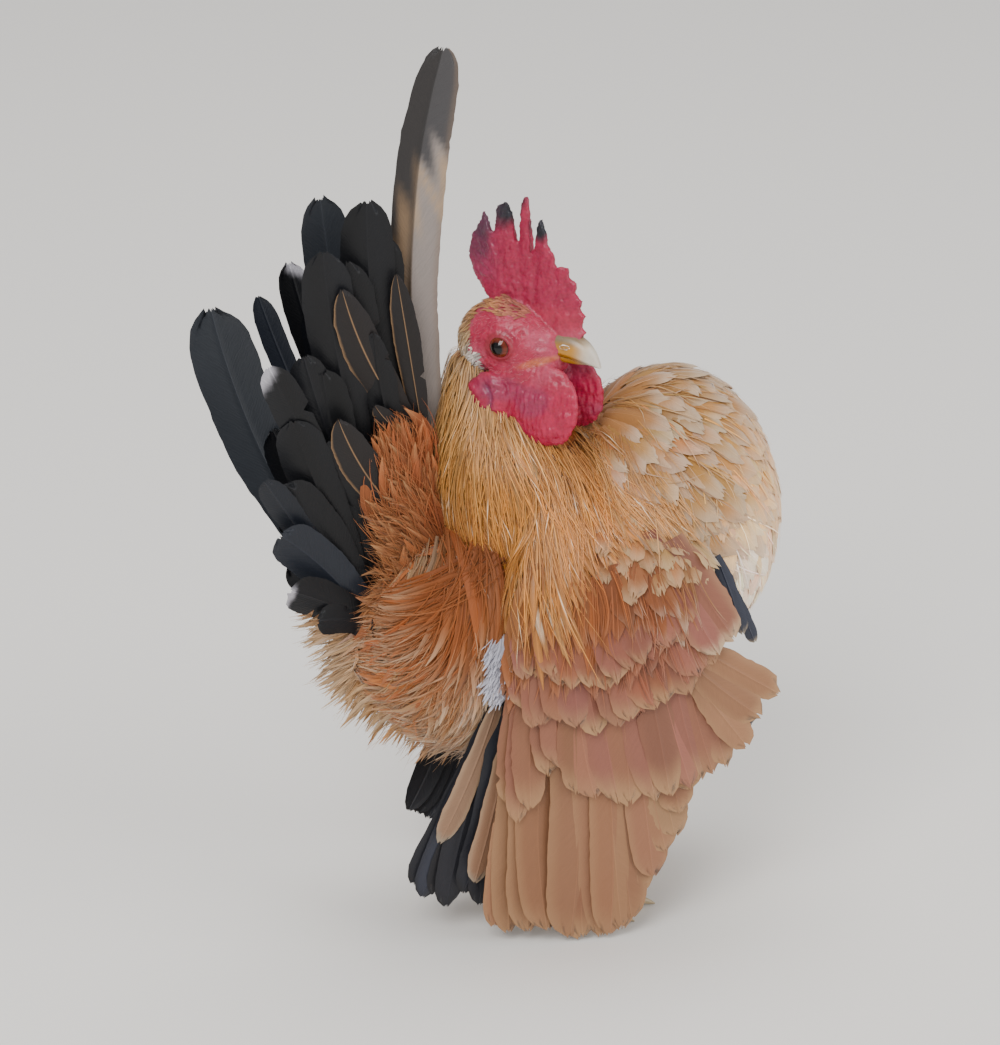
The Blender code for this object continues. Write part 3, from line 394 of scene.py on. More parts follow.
def scattered(surface, spacing, keep, seed):
    # Roots spread evenly over the part of a surface that keep(points) holds, about spacing apart
    draw = np.random.default_rng(seed)
    corners = surface[0][surface[1]]
    corners = corners[keep(corners.mean(1))]
    areas = np.linalg.norm(np.cross(corners[:, 2] - corners[:, 0], corners[:, 3] - corners[:, 1]), axis=1) / 2
    wanted = int(areas.sum() / spacing**2 * 5)
    picked = draw.choice(len(corners), wanted, p=areas / areas.sum())
    kept, cells = [], {}
    for spot in (corners[picked] * draw.dirichlet((1, 1, 1, 1), wanted)[:, :, None]).sum(1):
        cell = tuple((spot // spacing).astype(int))
        near = [q for i in (-1, 0, 1) for j in (-1, 0, 1) for k in (-1, 0, 1)
                for q in cells.get((cell[0] + i, cell[1] + j, cell[2] + k), ())]
        if all((spot[0] - q[0]) ** 2 + (spot[1] - q[1]) ** 2 + (spot[2] - q[2]) ** 2 > (spacing * 0.72) ** 2
               for q in near):
            cells.setdefault(cell, []).append(spot)
            kept.append(spot)
    return np.array(kept)


def grown(tree, roots, flow, lengths, form, draw, tints, kind):
    # Broad vanes that lie on a surface, with hair-like barbs loose among them
    lineSeed, vaneSeed, thinSeed, hairSeed = form["seeds"]
    lines = followed(tree, roots, flow, lengths, form["rows"], form["rise"], 0.6, lineSeed, *form["lie"])
    block = vanes(lines, form["half"] * draw.uniform(*form["halves"], len(roots)), form["shape"], form["columns"],
                  tints[0], vaneSeed, kind, **form["edge"])
    hair = form["hair"]
    picked = draw.choice(len(roots), hair["count"])
    starts = roots[picked] + draw.normal(size=(len(picked), 3)) * hair["stray"]
    thin = followed(tree, starts, flow, lengths[picked] * draw.uniform(*hair["share"], len(picked)), hair["rows"],
                    form["rise"] * hair["rise"], 0.0, thinSeed, *hair["lie"])
    return [block, hairs(thin, draw, hair["halves"], tints[1], hairSeed, kind)]


plumeShape = ((0, 0.35), (0.25, 0.85), (0.5, 1.0), (0.78, 0.62), (1, 0.06))


def tufted(lines, broad, tint, seed, kind, halves, again=1):
    # The first lines as soft vanes with loose barbs, all of them again as hair-like barbs around those
    draw = np.random.default_rng(seed)
    vane = {key: values[:broad] for key, values in lines.items()}
    hair = {key: np.repeat(values, again, 0) for key, values in lines.items()}
    hair["points"] = hair["points"] + draw.normal(size=(len(hair["points"]), 1, 3)) * 0.9
    hair["roots"] = hair["points"][:, 0]
    return [vanes(vane, draw.uniform(*halves, len(vane["points"])), plumeShape, 6, tint, seed, kind, 0.22, 0.14,
                  twist=14, comb=0.06),
            hairs(hair, draw, (0.09, 0.28), tint, seed + 1, kind)]


def blended(points, anchors):
    # Colour from a few soft patches: x, |y|, z, reach and sRGB code of each
    points = np.array(points, float)
    points[..., 1] = np.abs(points[..., 1])
    total, weight = 0, 1e-9
    for x, y, z, reach, code in anchors:
        pull = np.exp(-((points - (x, y, z)) ** 2).sum(-1) / reach**2)[..., None] + 1e-7
        total = total + pull * linear(code)
        weight = weight + pull
    return total / weight


def skinPlace(points, kind):
    # Unwrap of the skin's own shape: body and neck round their axes, wings and tail laid flat
    x, y, z = np.moveaxis(np.asarray(points, float), -1, 0)
    if kind == "body":
        u, v = np.arctan2(y, z - 105) / (2 * pi) + 0.5, (x + 80) / 160
    elif kind == "neck":
        u, v = np.arctan2(y, x + 12) / (2 * pi) + 0.5, (z - 60) / 170
    else:
        u, v = (x + 110) / 200, z / 300
    return np.stack([0.01 + 0.98 * np.clip(u, 0, 1), 0.01 + 0.98 * np.clip(v, 0, 1)], -1)


# The forms under the coat, from the same stations as the solids

bodyForm = {
    "torso": np.array((  # x, middle height, half height, half width
        (-65, 98, 8, 7), (-60, 97, 20, 17), (-45, 95, 33, 28), (-20, 98, 45, 36), (5, 109, 54, 37),
        (28, 121, 55, 38), (49, 127, 46, 33), (63, 128, 30, 23), (70, 128, 11, 9)), float),
    "neck": (  # height, centre x and y, half width along x and y
        (118, -6, 0, 30, 31), (140, -9, 0, 33, 34), (154, -13, 0, 29, 29), (165, -19, 1, 21, 20),
        (175, -24, 3, 14, 13), (184, -27, 4, 9, 8)),
    "thigh": (17, 16, 13.5, 10, 7, 4.6),
}
legForm = {
    "out": 16.0, "hip": (-4, 74), "hock": (-17, 43), "foot": (-4, 5.5), "radius": 3.1,
    "toes": (("inner", -28, 21, 2.3), ("middle", 4, 27, 2.5), ("outer", 30, 21, 2.2), ("hind", 170, 12, 2.0)),
    "claw": 7.0, "spur": 6.0, "spurPlace": 0.68,
}


def ellipseRings(rows):  # x, middle z, half height, half width of each ring
    a = turns(48)
    x, z, tall, wide = (column[:, None] for column in np.asarray(rows, float).T)
    return np.stack([x + 0 * a, wide * np.sin(a), z + tall * np.cos(a)], -1)


def torsoRings(inset):
    x, middle, tall, wide = through(bodyForm["torso"], 40).T
    return ellipseRings(np.stack([x * (1 - inset / 67), middle, np.maximum(tall - inset, 1.0),
                                  np.maximum(wide - inset, 1.0)], -1))


def neckRings(inset):
    a = turns(40)
    z, x, y, along, across = (column[:, None] for column in through(bodyForm["neck"], 26).T)
    return np.stack([x + np.maximum(along - inset, 2.0) * np.cos(a), y + np.maximum(across - inset, 2.0) * np.sin(a),
                     z + 0 * a], -1)


def tubeRings(path, radii, sides=16, up=(1, 0, 0)):
    ahead = unit(np.gradient(path, axis=0))
    across = unit(np.cross(ahead, up))[:, None]
    over = np.cross(across, ahead[:, None])
    a = turns(sides)[None, :, None]
    return path[:, None] + radii[:, None, None] * (over * np.cos(a) + across * np.sin(a))


def legPoint(key, side):
    return np.array((legForm[key][0], side * legForm["out"], legForm[key][1]), float)


def thighRings(side):
    hip, hock = legPoint("hip", side), legPoint("hock", side)
    share = np.linspace(0, 1, 14)
    radii = np.interp(share, np.linspace(0, 1, 6), bodyForm["thigh"]) - 2.0
    return tubeRings(hip + (hock - hip) * share[:, None], np.maximum(radii, 2.6))


def bodyPieces(inset, neckInset=None):
    neck = [] if neckInset is None else [tube(neckRings(neckInset))]
    return [tube(torsoRings(inset)), *neck, *[tube(thighRings(side)) for side in (-1, 1)]]


# The wing's sheet and the tail's fans, the same as in the solids

wingForm = {"half": 43.5, "shoulder": 100, "topRound": 78, "toeIn": 9, "wrap": 0.35, "middle": 8, "reach": 65}
tailForm = {"root": (-47.0, 112.0), "span": (97, 159), "spread": (0.04, 0.36), "inside": 1.6}


def onWing(x, z, n, side):
    form = wingForm
    below = form["shoulder"] - z
    high = form["half"] * np.sqrt(np.clip(1 - (below / form["topRound"]) ** 2, 0.05, 1))
    low = form["half"] - form["toeIn"] * np.clip(below / form["shoulder"], 0, 1.2) ** 1.6
    across = np.where(below < 0, high, low) * (1 - form["wrap"] * ((x - form["middle"]) / form["reach"]) ** 2)
    return np.stack([x, side * (across + n), z], -1)


def onTail(x, z, n, side):
    dx, dz = x - tailForm["root"][0], z - tailForm["root"][1]
    (first, last), (narrow, broad) = tailForm["span"], tailForm["spread"]
    share = np.clip((np.degrees(np.arctan2(dz, dx)) % 360 - first) / (last - first), -0.3, 1.15)
    across = tailForm["inside"] + np.hypot(dx, dz) * (narrow + (broad - narrow) * share)
    return np.stack([x, side * (across + n), z], -1)


def viewAxes():
    a, e = view["azimuth"], view["elevation"]
    return (np.array((cos(a), sin(a), 0)), np.array((-sin(a) * sin(e), cos(a) * sin(e), cos(e))),
            np.array((sin(a) * cos(e), -cos(a) * cos(e), sin(e))))


def seen(spots, place, side, level=2.0):
    # Where points of the photo, in its pixels, lie on a sheet: x and z of each
    right, up, back = viewAxes()
    aim = view["aim"]
    spots = np.asarray(spots, float)
    y = np.full(len(spots), side * 20.0)
    near = 0
    for _ in range(30):
        shrink = view["grain"] * (1 - near / (view["distance"] * 1000))
        h = (spots[:, 0] - view["middle"][0]) * shrink
        v = (view["middle"][1] - spots[:, 1]) * shrink
        x = (h - right[1] * y) / right[0]
        z = (v - up[0] * x - up[1] * y) / up[2]
        found = place(x + aim[0], z + aim[2], level + 0 * y, side)
        y = 0.5 * y + 0.5 * found[:, 1]
        near = (found - aim) @ back
    return np.stack([x + aim[0], z + aim[2]], -1)


# Colours of the coat, shared by the feathers and the skin under them

breastAnchors = (
    (12, 20, 160, 16, "#BC8244"), (20, 30, 140, 16, "#C08A50"), (34, 12, 168, 16, "#AA7C40"),
    (30, 20, 156, 14, "#BC8846"), (46, 28, 126, 15, "#F4E8D6"), (60, 10, 142, 18, "#D2A468"),
    (54, 0, 112, 22, "#E0C496"), (44, 22, 148, 14, "#CC9C58"), (34, 31, 108, 16, "#EAD6B4"),
    (30, 15, 84, 24, "#DCC39A"), (0, 10, 60, 30, "#D0B48C"),
)
backAnchors = (
    (-20, 10, 140, 22, "#B0622A"), (-35, 25, 118, 18, "#B4602A"), (-24, 38, 100, 16, "#C0782F"),
    (-40, 32, 98, 14, "#BC7438"), (-52, 15, 100, 14, "#C28A58"), (-40, 30, 80, 16, "#C08A58"),
    (-60, 8, 92, 14, "#D2A878"), (-30, 20, 64, 16, "#C99A68"), (-14, 36, 76, 10, "#DCCAB0"),
)


def bodyColour(points):
    x = np.asarray(points)[..., 0:1]
    sunlit = 1 + 0.8 * eased(x, 27, 43)
    return mixed(blended(points, backAnchors), blended(points, breastAnchors) * sunlit, eased(x, -6, 12))


# Skin: one surface for body, neck, thighs, head, comb, wattles and earlobes

headForm = {
    "stations": (  # x, middle z, half height, half width, in the head's own frame
        (-18.5, -2, 2, 2), (-16, -2, 7.5, 7), (-10, -1, 11.5, 10.5), (-2, 0, 12.8, 11.8), (6, -1.2, 11.8, 10.2),
        (12, -2.2, 9.0, 7.2), (15, -2.4, 7.0, 5.6), (16.8, -2.6, 4.8, 4.0)),
    "eyeRadius": 4.6, "lidRadius": 4.1,
    "balls": (  # centre, half sizes, lean and folds of wattle, earlobe and the swellings of the cheek
        ((13.6, 8.0, -17.0), (12.0, 3.4, 12.4), -0.10, 0.16), ((-3.4, 10.6, -18.2), (7.2, 3.2, 9.4), 0.05, 0.1),
        ((3.0, 7.4, -8.0), (8.5, 3.6, 5.4), 0.0, 0.05), ((10.5, 5.6, -10.5), (6.5, 3.2, 5.0), 0.0, 0.05),
        ((3.5, 7.6, -14.0), (4.6, 3.0, 6.0), 0.0, 0.05)),
    "combHalves": (2.8, 0.8),
    "comb": (  # x, z from the beak over each point of the blade and the notch behind it
        (22.4, 3.6), (23.8, 5.4), (22.0, 7.2), (23.4, 10.4), (21.2, 12.0), (22.2, 15.0), (19.8, 16.6), (20.4, 20.4),
        (17.6, 21.6), (17.6, 25.0), (13.2, 24.4), (12.8, 28.4), (10.0, 31.0), (9.8, 34.8), (8.0, 38.8), (6.7, 35.0),
        (5.6, 27.6), (4.4, 27.6), (4.3, 35.0), (3.4, 43.0), (2.3, 45.0), (1.3, 42.0), (0.5, 30.4), (-0.7, 30.4),
        (-1.7, 38.0), (-3.6, 42.4), (-6.2, 40.8), (-7.6, 31.6), (-9.2, 33.0), (-11.6, 38.2), (-13.2, 34.0),
        (-15.4, 30.4), (-17.0, 24.4), (-14.8, 17.4), (-9.6, 12.8), (-7.0, 11.0)),
    "voxel": 0.42, "bodyVoxel": 1.3,
}


def foldedBall(centre, half, lean, folds):
    turn, a = np.linspace(0.06, pi - 0.06, 30)[:, None], turns(44)
    z, wide = -np.cos(turn), np.sin(turn) ** 0.8
    swell = 1 + folds * np.cos(3 * a + 1.5 * z) + folds * 0.6 * np.cos(5 * a)
    return np.stack([centre[0] + half[0] * wide * np.cos(a),
                     centre[1] + lean * z * half[2] + half[1] * wide * np.sin(a) * swell,
                     centre[2] + half[2] * z + 0 * a], -1)


def ringTorus(centre, radii, thickness, side):
    a, b = turns(40)[:, None], turns(10)
    reach = 1 + thickness[0] / radii[0] * np.cos(b)
    points = np.stack([centre[0] + radii[0] * np.cos(a) * reach, centre[1] + side * thickness[1] * np.sin(b) + 0 * a,
                       centre[2] + radii[1] * np.sin(a) * reach], -1).reshape(-1, 3)
    return points, (gridFaces(41, 10, True) % len(points)).tolist()


def combPiece():
    # A blade whose outline runs from the beak over the points to the lobe, thick at its base
    outline = np.array(headForm["comb"])
    steps = np.arange(4)[:, None] / 4
    fine = np.vstack([*[a + (b - a) * steps for a, b in zip(outline[:-1], outline[1:])], outline[-1:]])
    front, rear = outline[0] + (-1.0, -4.0), outline[-1] + (2.0, -5.0)
    base = front + (rear - front) * np.linspace(0, 1, len(fine))[:, None]
    level = np.linspace(0, 1, 8)
    x, z = np.moveaxis(base[:, None] + (fine - base)[:, None] * level[None, :, None], -1, 0)
    thick, thin = headForm["combHalves"]
    half = thick + (thin - thick) * level**0.75
    bend = 0.7 * np.sin(x * 0.32 + 0.5) * (z / 40)
    rings = np.concatenate([np.stack([x, bend + half, z], -1), np.stack([x, bend - half, z], -1)[:, ::-1]], 1)
    sides = rings.shape[1]
    faces = gridFaces(len(rings), sides, True).tolist()
    for first, order in ((0, 1), ((len(rings) - 1) * sides, -1)):
        faces += [[first + k, first + k + 1, first + sides - 2 - k, first + sides - 1 - k][::order]
                  for k in range(sides // 2 - 1)]
    return rings.reshape(-1, 3), faces


def headPieces():
    form = headForm
    lid = form["lidRadius"]
    pieces = [tube(ellipseRings(through(form["stations"], 40))), combPiece()]
    for side in (-1, 1):
        eyeY = side * (headPlace["eyeOut"] + 2.5)
        pieces.append(ringTorus((0, eyeY, 0), (lid, lid - 0.7), (0.75, 1.1), side))
        pieces.append(ringTorus((0.2, eyeY - side * 1.2, 0.2), (lid + 1.9, lid + 1.2), (0.8, 0.9), side))
        pieces += [tube(foldedBall(np.array(spot) * (1, side, 1), half, lean * side, folds))
                   for spot, half, lean, folds in form["balls"]]
    return [(inHead(points), faces) for points, faces in pieces]


def lobeCrease(x, y, z):  # the curved fold of the earlobe
    fold = np.exp(-(((np.hypot(x + 5.2, (z + 17.0) * 0.8) - 3.6) / 0.8) ** 2))
    return fold * eased(x, -5.5, -3.5) * eased(-z, 9, 12) * eased(np.abs(y), 6, 9)


def grained(points, scale, shift=(0, 0, 0)):
    return np.array([noise.noise(Vector(p) + Vector(shift)) for p in points * scale])


def creased(points, normals):
    # Fine folds, warts and the grain of bare skin, deeper on wattles and comb
    local = fromHead(points)
    x, y, z = local.T
    onComb = eased(z, 11, 15)
    onWattle = eased(-z, 10, 14) * eased(x, -2, 3)
    onLobe = eased(-z, 8, 12) * (1 - eased(x, -1, 3))
    pebbles = 0.3 - np.abs(grained(local, 1.15))
    warts = grained(local, 0.55, (5, 1, 2))
    folds = grained(local, (0.16, 0.3, 0.5), (1, 7, 3))
    wrinkles = grained(local, (1.1, 0.4, 0.28))
    eyeFar, outer = np.hypot(x, z), np.abs(y)
    rings = np.sin((eyeFar - 6) * 2.4) * np.exp(-((eyeFar - 8.5) / 3.0) ** 2) * 0.16 * eased(outer, 6, 9)
    depth = (pebbles * (0.24 + 0.20 * onComb - 0.04 * onWattle) + warts * (0.25 - 0.15 * onWattle + 0.2 * onComb)
             + folds * (0.35 + 0.15 * onWattle + 0.7 * onLobe) * (1 - onComb) + rings + wrinkles * 0.45 * onWattle
             - 0.9 * lobeCrease(x, y, z))
    clear = eased(eyeFar, 3.8, 5.0) + (1 - eased(outer, 6.5, 9))
    return points + normals * (depth * np.clip(clear, 0.15, 1))[:, None]


fleshTones = {"face": "#B4304E", "pale": "#CB6A7C", "comb": "#AC264C", "tip": "#23212B", "wattle": "#B9224C",
              "lobe": "#B0264A", "lid": "#9C2C3A", "gape": "#D98A48", "mauve": "#8C4A68"}
combTips = ((-11.8, 37.0, 6.5, 0.9), (-3.8, 42.0, 6.6, 1.0), (8.2, 38.5, 5.0, 1.0), (-16.4, 27.0, 9.0, 0.6))


def fleshColour(points):
    local = fromHead(points)
    x, y, z = local.T
    patch = ripple(local, 5, 8)
    eyeFar = np.hypot(x, z)
    corner = np.hypot(np.clip(np.abs(x - 11.5) - 7.0, 0, 9), z + 4.0 - (x - 11.0) * 0.3) + 0.3 * patch
    # pale: paler pink patches over the lower face, a painted highlight
    layers = [("pale", 0.5 * eased(ripple(local, 6, 3), -0.4, 1.2) * (1 - eased(z, 3, 8))), ("comb", eased(z, 10, 14))]
    for spotX, spotZ, reach, share in combTips:
        far = np.hypot(x - spotX, (z - spotZ) * 0.75) + patch * 0.7
        layers.append(("tip", share * (1 - eased(far, reach * 0.55, reach)) * eased(z, 20, 26)))
    layers += [
        ("mauve", 0.4 * eased(-x, 2, 12) * eased(z, 14, 20)),
        ("wattle", eased(-z, 9, 13) * eased(x, -3, 2)),
        ("lobe", eased(-z, 8, 12) * (1 - eased(x, -3, 1))),
        ("gape", 0.55 * (1 - eased(corner, 0.1, 1.5)) * eased(x, 3, 10)),
        ("lid", 0.8 * (1 - eased(eyeFar, 4.2, 5.4)) * eased(np.abs(y), 7, 9)),
        ("mauve", 0.4 * eased(ripple(local, 8, 9), 0.0, 1.2) * eased(-z, -2, 6)),
        # painted shade: a dull mauve along the earlobe's fold
        ("mauve", 0.7 * lobeCrease(x, y, z))]
    colour = linear(fleshTones["face"])
    for key, share in layers:
        colour = mixed(colour, fleshTones[key], np.clip(share, 0, 1)[:, None])
    return colour


def fleshPaint():
    # Bare skin: soft, slightly waxy, with light going in a little and a fine uneven gloss
    made, node, link = newMaterial("softBareSkin", {
        "Roughness": 0.38, "Subsurface Weight": 0.18, "Subsurface Radius": (1.0, 0.25, 0.2),
        "Subsurface Scale": 0.0012, "Specular IOR Level": 0.45})
    dye = node("Attribute", attribute_name="plumage")
    place = node("TexCoord", out="Object")
    grain = node("TexVoronoi", Scale=1100.0, Vector=place)
    blotch = node("TexNoise", Scale=260.0, Detail=4.0, Vector=place)
    light = node("ADD", node("ADD", node("MULTIPLY", blotch, 0.5), node("MULTIPLY", grain, 0.3)), 0.62)
    link("Roughness", node("ADD", node("MULTIPLY", blotch, 0.3), 0.25))
    surfaced(node, link, dye, light, node("ADD", node("MULTIPLY", grain, 0.7), blotch), 0.35, 0.3)
    return made


def makeSkin():
    bodyPoints, bodyFaces, _ = remeshed(bodyPieces(4.0, 3.0), headForm["bodyVoxel"], 4)
    headPoints, headFaces, headNormals = remeshed(headPieces(), headForm["voxel"], 2)
    headPoints = creased(headPoints, headNormals)
    colours = deep(np.vstack([bodyColour(bodyPoints) * 0.8, fleshColour(headPoints)]), 0.80)
    meshPiece("skin", np.vstack([bodyPoints, headPoints]), np.vstack([bodyFaces, headFaces + len(bodyPoints)]),
              fleshPaint(), ("torso", "neck", "head", "comb", "wattle_R", "wattle_L", "earlobe_R",
                                          "earlobe_L", "thigh_R", "thigh_L"), colours)
    return treeOf(headPoints, headFaces)


headTree = makeSkin()

# The surfaces that the coat lies on: the bare body, and body, neck and wing arms as one soft form

armStations = (  # height, rear and front end, drop under the wing's own feathers
    (84, -20, 44, 0), (92, -23, 47, 0), (104, -25, 49, 0), (118, -25, 44, 0.6), (128, -22, 36, 2.8),
    (138, -16, 28, 7.5), (145, -10, 24, 13))


def armRings(side):
    rings = []
    for z, rear, front, drop in armStations:
        x = np.linspace(rear, front, 14)
        outer, inner = (onWing(x, z + 0 * x, level - drop + 0 * x, side) for level in (6.6, -4.0))
        rings.append(np.vstack([outer, inner[::-1]]))
    return rings


mantle = remeshed(bodyPieces(3.2, 2.5) + [tube(armRings(side)) for side in (-1, 1)], 2.2, 9)
bare = remeshed(bodyPieces(3.2), 2.2, 3)
mantleTree, bareTree = treeOf(*mantle), treeOf(*bare)
print("forms ready")

# Breast and belly, and the broad feathers that lie from the breast over the shoulder

breathShape = ((0, 0.45), (0.3, 0.9), (0.6, 1.0), (0.8, 0.94), (0.9, 0.78), (0.96, 0.56), (1, 0.26))
breastPlumes = {
    "spacing": 3.2, "length": (19, 29), "half": 3.8, "halves": (0.8, 1.2), "rise": 0.08, "source": (2.0, 0.0, 172.0),
    "shape": breathShape, "rows": 7, "columns": 6, "seeds": (13, 15, 16, 18), "lie": (11, 1.3),
    "edge": {"camber": 0.26, "fray": 0.18, "split": 0.01, "twist": 8, "comb": 0.07},
    "hair": {"count": 2000, "stray": 1.4, "share": (0.7, 1.1), "rows": 5, "rise": 1.1, "lie": (14, 2.0),
             "halves": (0.12, 0.3)},
}
capeAnchors = ((8, 36, 142, 9, "#A86A34"), (22, 36, 142, 9, "#B48450"), (20, 38, 132, 7, "#A4683C"),
               (34, 32, 136, 9, "#C8A272"))


def breastFlow(spots):
    low = (1 - eased(spots[:, 2], 74, 118))[:, None]
    return unit(unit(spots - breastPlumes["source"]) * (1 - low) + low * 1.2 * np.array((-1.0, 0.0, -0.2)))


def softTint(base, spread, pale, tip, tipStart, tipShare):
    def tint(t, s, roots, draw):
        colour = base(roots)[:, None, None, :] * toned(draw, len(roots), spread, 0.6, 1.4)
        # painted shade: darker towards the root and lighter towards the tip, by the share pale
        colour = colour * (1 + 0.05 * draw.normal(size=(len(roots), 1, 1, 3))) * (1 - pale + 2 * pale * t[..., None])
        return mixed(colour, tip, (eased(t + 0.12 * np.abs(s), tipStart, 1.0) * tipShare)[..., None])
    return tint


def makeBreast():
    def keep(p):
        x, y, z = p[:, 0], np.abs(p[:, 1]), p[:, 2]
        return (x > -4) & ~((y > 30) & (x < 34) & (z < 128)) & (z > 50) | (z < 92) & (x > -30) & (y < 30)

    def onShoulder(p):
        x, z = p[:, 0], p[:, 2]
        return (np.abs(p[:, 1]) > 20) & (abs(x - 18) < 15) & (z > 132 + 0.1 * x) & (z < 154)

    roots = scattered(bare, breastPlumes["spacing"], keep, 11)
    draw = np.random.default_rng(12)
    lengths = draw.uniform(*breastPlumes["length"], len(roots))
    tints = (softTint(bodyColour, 0.10, 0.09, "#F3E8D4", 0.65, 0.4),
             softTint(bodyColour, 0.14, 0.0, "#F3E8D4", 0.5, 0.3))
    blocks = grown(bareTree, roots, breastFlow, lengths, breastPlumes, draw, tints, "body")
    roots = scattered(mantle, 3.2, onShoulder, 19)
    lines = followed(mantleTree, roots, lambda spots: np.array((0.1, 0.0, -1.0)) + 0 * spots,
                     draw.uniform(12, 19, len(roots)), 8, 0.06, 1.5, 20, 9, 1.5)
    cape = vanes(lines, draw.uniform(2.8, 4.2, len(roots)), breathShape, 8,
                 softTint(partial(blended, anchors=capeAnchors), 0.12, 0.1, "#DCC098", 0.66, 0.5), 22, "body",
                 0.26, 0.16, twist=9, comb=0.09)
    coatPiece("breastFeathers", [*blocks, cape], softPaint, "breast_feathers")


makeBreast()

# Hackle: long narrow feathers from the head down over the shoulders, glossy, with a painted highlight along the middle
# of each

hacklePlumes = {
    "spacing": 2.0, "length": (22, 46), "half": 1.35, "halves": (0.7, 1.25), "rise": 0.03, "low": 134.0,
    "throatFree": 42.0, "rows": 9, "columns": 4, "seeds": (23, 24, 25, 26), "lie": (6, 1.5, 1.1),
    "shape": ((0, 0.5), (0.25, 1.0), (0.6, 0.92), (0.82, 0.6), (0.95, 0.28), (1, 0.05)),
    "edge": {"camber": 0.35, "fray": 0.22, "twist": 10, "comb": 0.2},
    "hair": {"count": 6500, "stray": 1.2, "share": (0.7, 1.05), "rows": 7, "rise": 1.1, "lie": (9, 2.3, 1.1),
             "halves": (0.10, 0.24)},
}
hackleAnchors = (
    (-24, 12, 178, 12, "#B78A52"), (-38, 10, 150, 14, "#B07A38"), (-18, 30, 156, 16, "#B98036"),
    (-22, 40, 128, 16, "#AC7638"), (-4, 36, 152, 13, "#B47034"), (-4, 42, 126, 14, "#A8662C"),
    (12, 34, 140, 13, "#9C6630"), (14, 24, 160, 12, "#AE783C"), (24, 30, 150, 12, "#AC8250"),
    (-40, 14, 128, 16, "#B0682C"), (28, 34, 138, 11, "#BC9666"),
)


def hackleFlow(spots):  # the cape parts over the breast and the tail
    x, y, _ = spots.T
    return np.stack([0.12 + 0.35 * eased(x, 2, 24) - 0.20 * eased(-x, 24, 42) + 0.09 * ripple(spots, 16, 71),
                     0.10 * np.sign(y) * eased(np.abs(y), 2, 20) + 0.09 * ripple(spots, 16, 72), 0 * x - 1], -1)


def hackleTint(light, highlightStrip):
    def tint(t, s, roots, draw):
        count = len(roots)
        drift = ripple(roots, 14, 73)[:, None, None, None]
        colour = blended(roots, hackleAnchors)[:, None, None, :] * toned(draw, count, 0.17)
        colour = colour * np.array([1.0, 0.93, 0.80]) ** (draw.normal(size=(count, 1, 1, 1)) * 0.7 + drift * 0.5)
        # painted glints: a short pale band across about one feather in ten
        pale = (draw.uniform(size=(count, 1, 1, 1)) < 0.10) * 0.65
        pale = pale * np.exp(-(((t - draw.uniform(0.35, 0.95, (count, 1, 1))) / 0.10) ** 2))[..., None]
        # painted highlight: a lighter strip along the middle of each vane
        middle = (1 - np.abs(s * highlightStrip))[..., None] ** 3 * 0.22
        # painted shade: darker towards the root, where the feathers above lie over it
        return mixed(colour, "#E9D8BC", pale) * (1 + middle) * (0.74 + 0.36 * eased(t, 0.1, 0.8))[..., None] * light
    return tint


def makeHackle():
    form = hacklePlumes

    def keep(p):
        x, y, z = p.T
        face = (fromHead(p)[:, 0] > -6) & (z > 172) | (fromHead(p)[:, 0] > 3) & (z > 160)
        around = np.abs(np.degrees(np.arctan2(y, x + 14)))
        front = (around < np.where(z > 141, 31.0, form["throatFree"])) & (z < 158)
        low = form["low"] + 0.9 * np.clip(x + 12, 0, 30) * eased(np.abs(y), 20, 30)
        return (z > low) & (z < 190) & (x < 26) & ~face & ~front

    roots = scattered(mantle, form["spacing"], keep, 21)
    draw = np.random.default_rng(22)
    x, z = roots[:, 0], roots[:, 2]
    short, long = form["length"]
    lengths = draw.uniform(0.85, 1.15, len(roots)) * (long - (long - short) * eased(z, 138, 182))
    rear = 0.34 * (1 - eased(x, -16, -6))
    lengths = np.where(x < -30, lengths * 0.8, lengths) * (0.46 + rear + (0.54 - rear) * eased(z, 142, 164))
    lengths = lengths * draw.uniform(0.8, 1.1, len(roots))
    tints = (hackleTint(1.08, 1), hackleTint(1.2, 0))
    blocks = grown(mantleTree, roots, hackleFlow, lengths, form, draw, tints, "neck")
    coatPiece("hackleFeathers", blocks, hacklePaint, "hackle_feathers")


makeHackle()

# Saddle and flank: soft, loose feathers that hang back and down

saddlePlumes = {
    "spacing": 3.0, "length": (30, 50), "half": 2.7, "halves": (0.6, 1.4), "rise": 0.16, "rows": 8, "columns": 6,
    "seeds": (33, 34, 35, 36), "lie": (9, 2.0, 1.5),
    "shape": ((0, 0.5), (0.3, 1.0), (0.6, 0.95), (0.82, 0.7), (0.94, 0.4), (1, 0.1)),
    "edge": {"camber": 0.3, "fray": 0.30, "split": 0.02, "twist": 16, "comb": 0.15},
    "hair": {"count": 2600, "stray": 1.5, "share": (0.8, 1.15), "rows": 6, "rise": 1.05, "lie": (15, 3.0, 1.5),
             "halves": (0.08, 0.2)},
}


def saddleFlow(spots):
    y = spots[:, 1]
    side = eased(np.abs(y), 6, 30)
    return np.stack([-1.0 + 0.25 * side + 0.16 * ripple(spots, 15, 74), 0.10 * np.sign(y) * side,
                     -0.30 - 0.55 * side + 0.22 * ripple(spots, 15, 75)], -1)


def saddleTint(light):
    def tint(t, s, spots, draw):
        count = len(spots)
        colour = blended(spots, backAnchors)[:, None, None, :] * toned(draw, count, 0.16)
        colour = colour * np.array([1.0, 0.95, 0.86]) ** draw.normal(size=(count, 1, 1, 1))
        low = (1 - eased(spots[:, 2], 74, 104))[:, None, None, None]
        tip = eased(t, 0.66, 1.0)[..., None] * (0.12 + 0.6 * low) * draw.uniform(0.3, 1.2, (count, 1, 1, 1))
        # painted shade: darker towards the root, where the feathers above lie over it
        return mixed(colour * (0.85 + 0.3 * t[..., None]), "#EBD3AE", np.clip(tip, 0, 0.9)) * light
    return tint


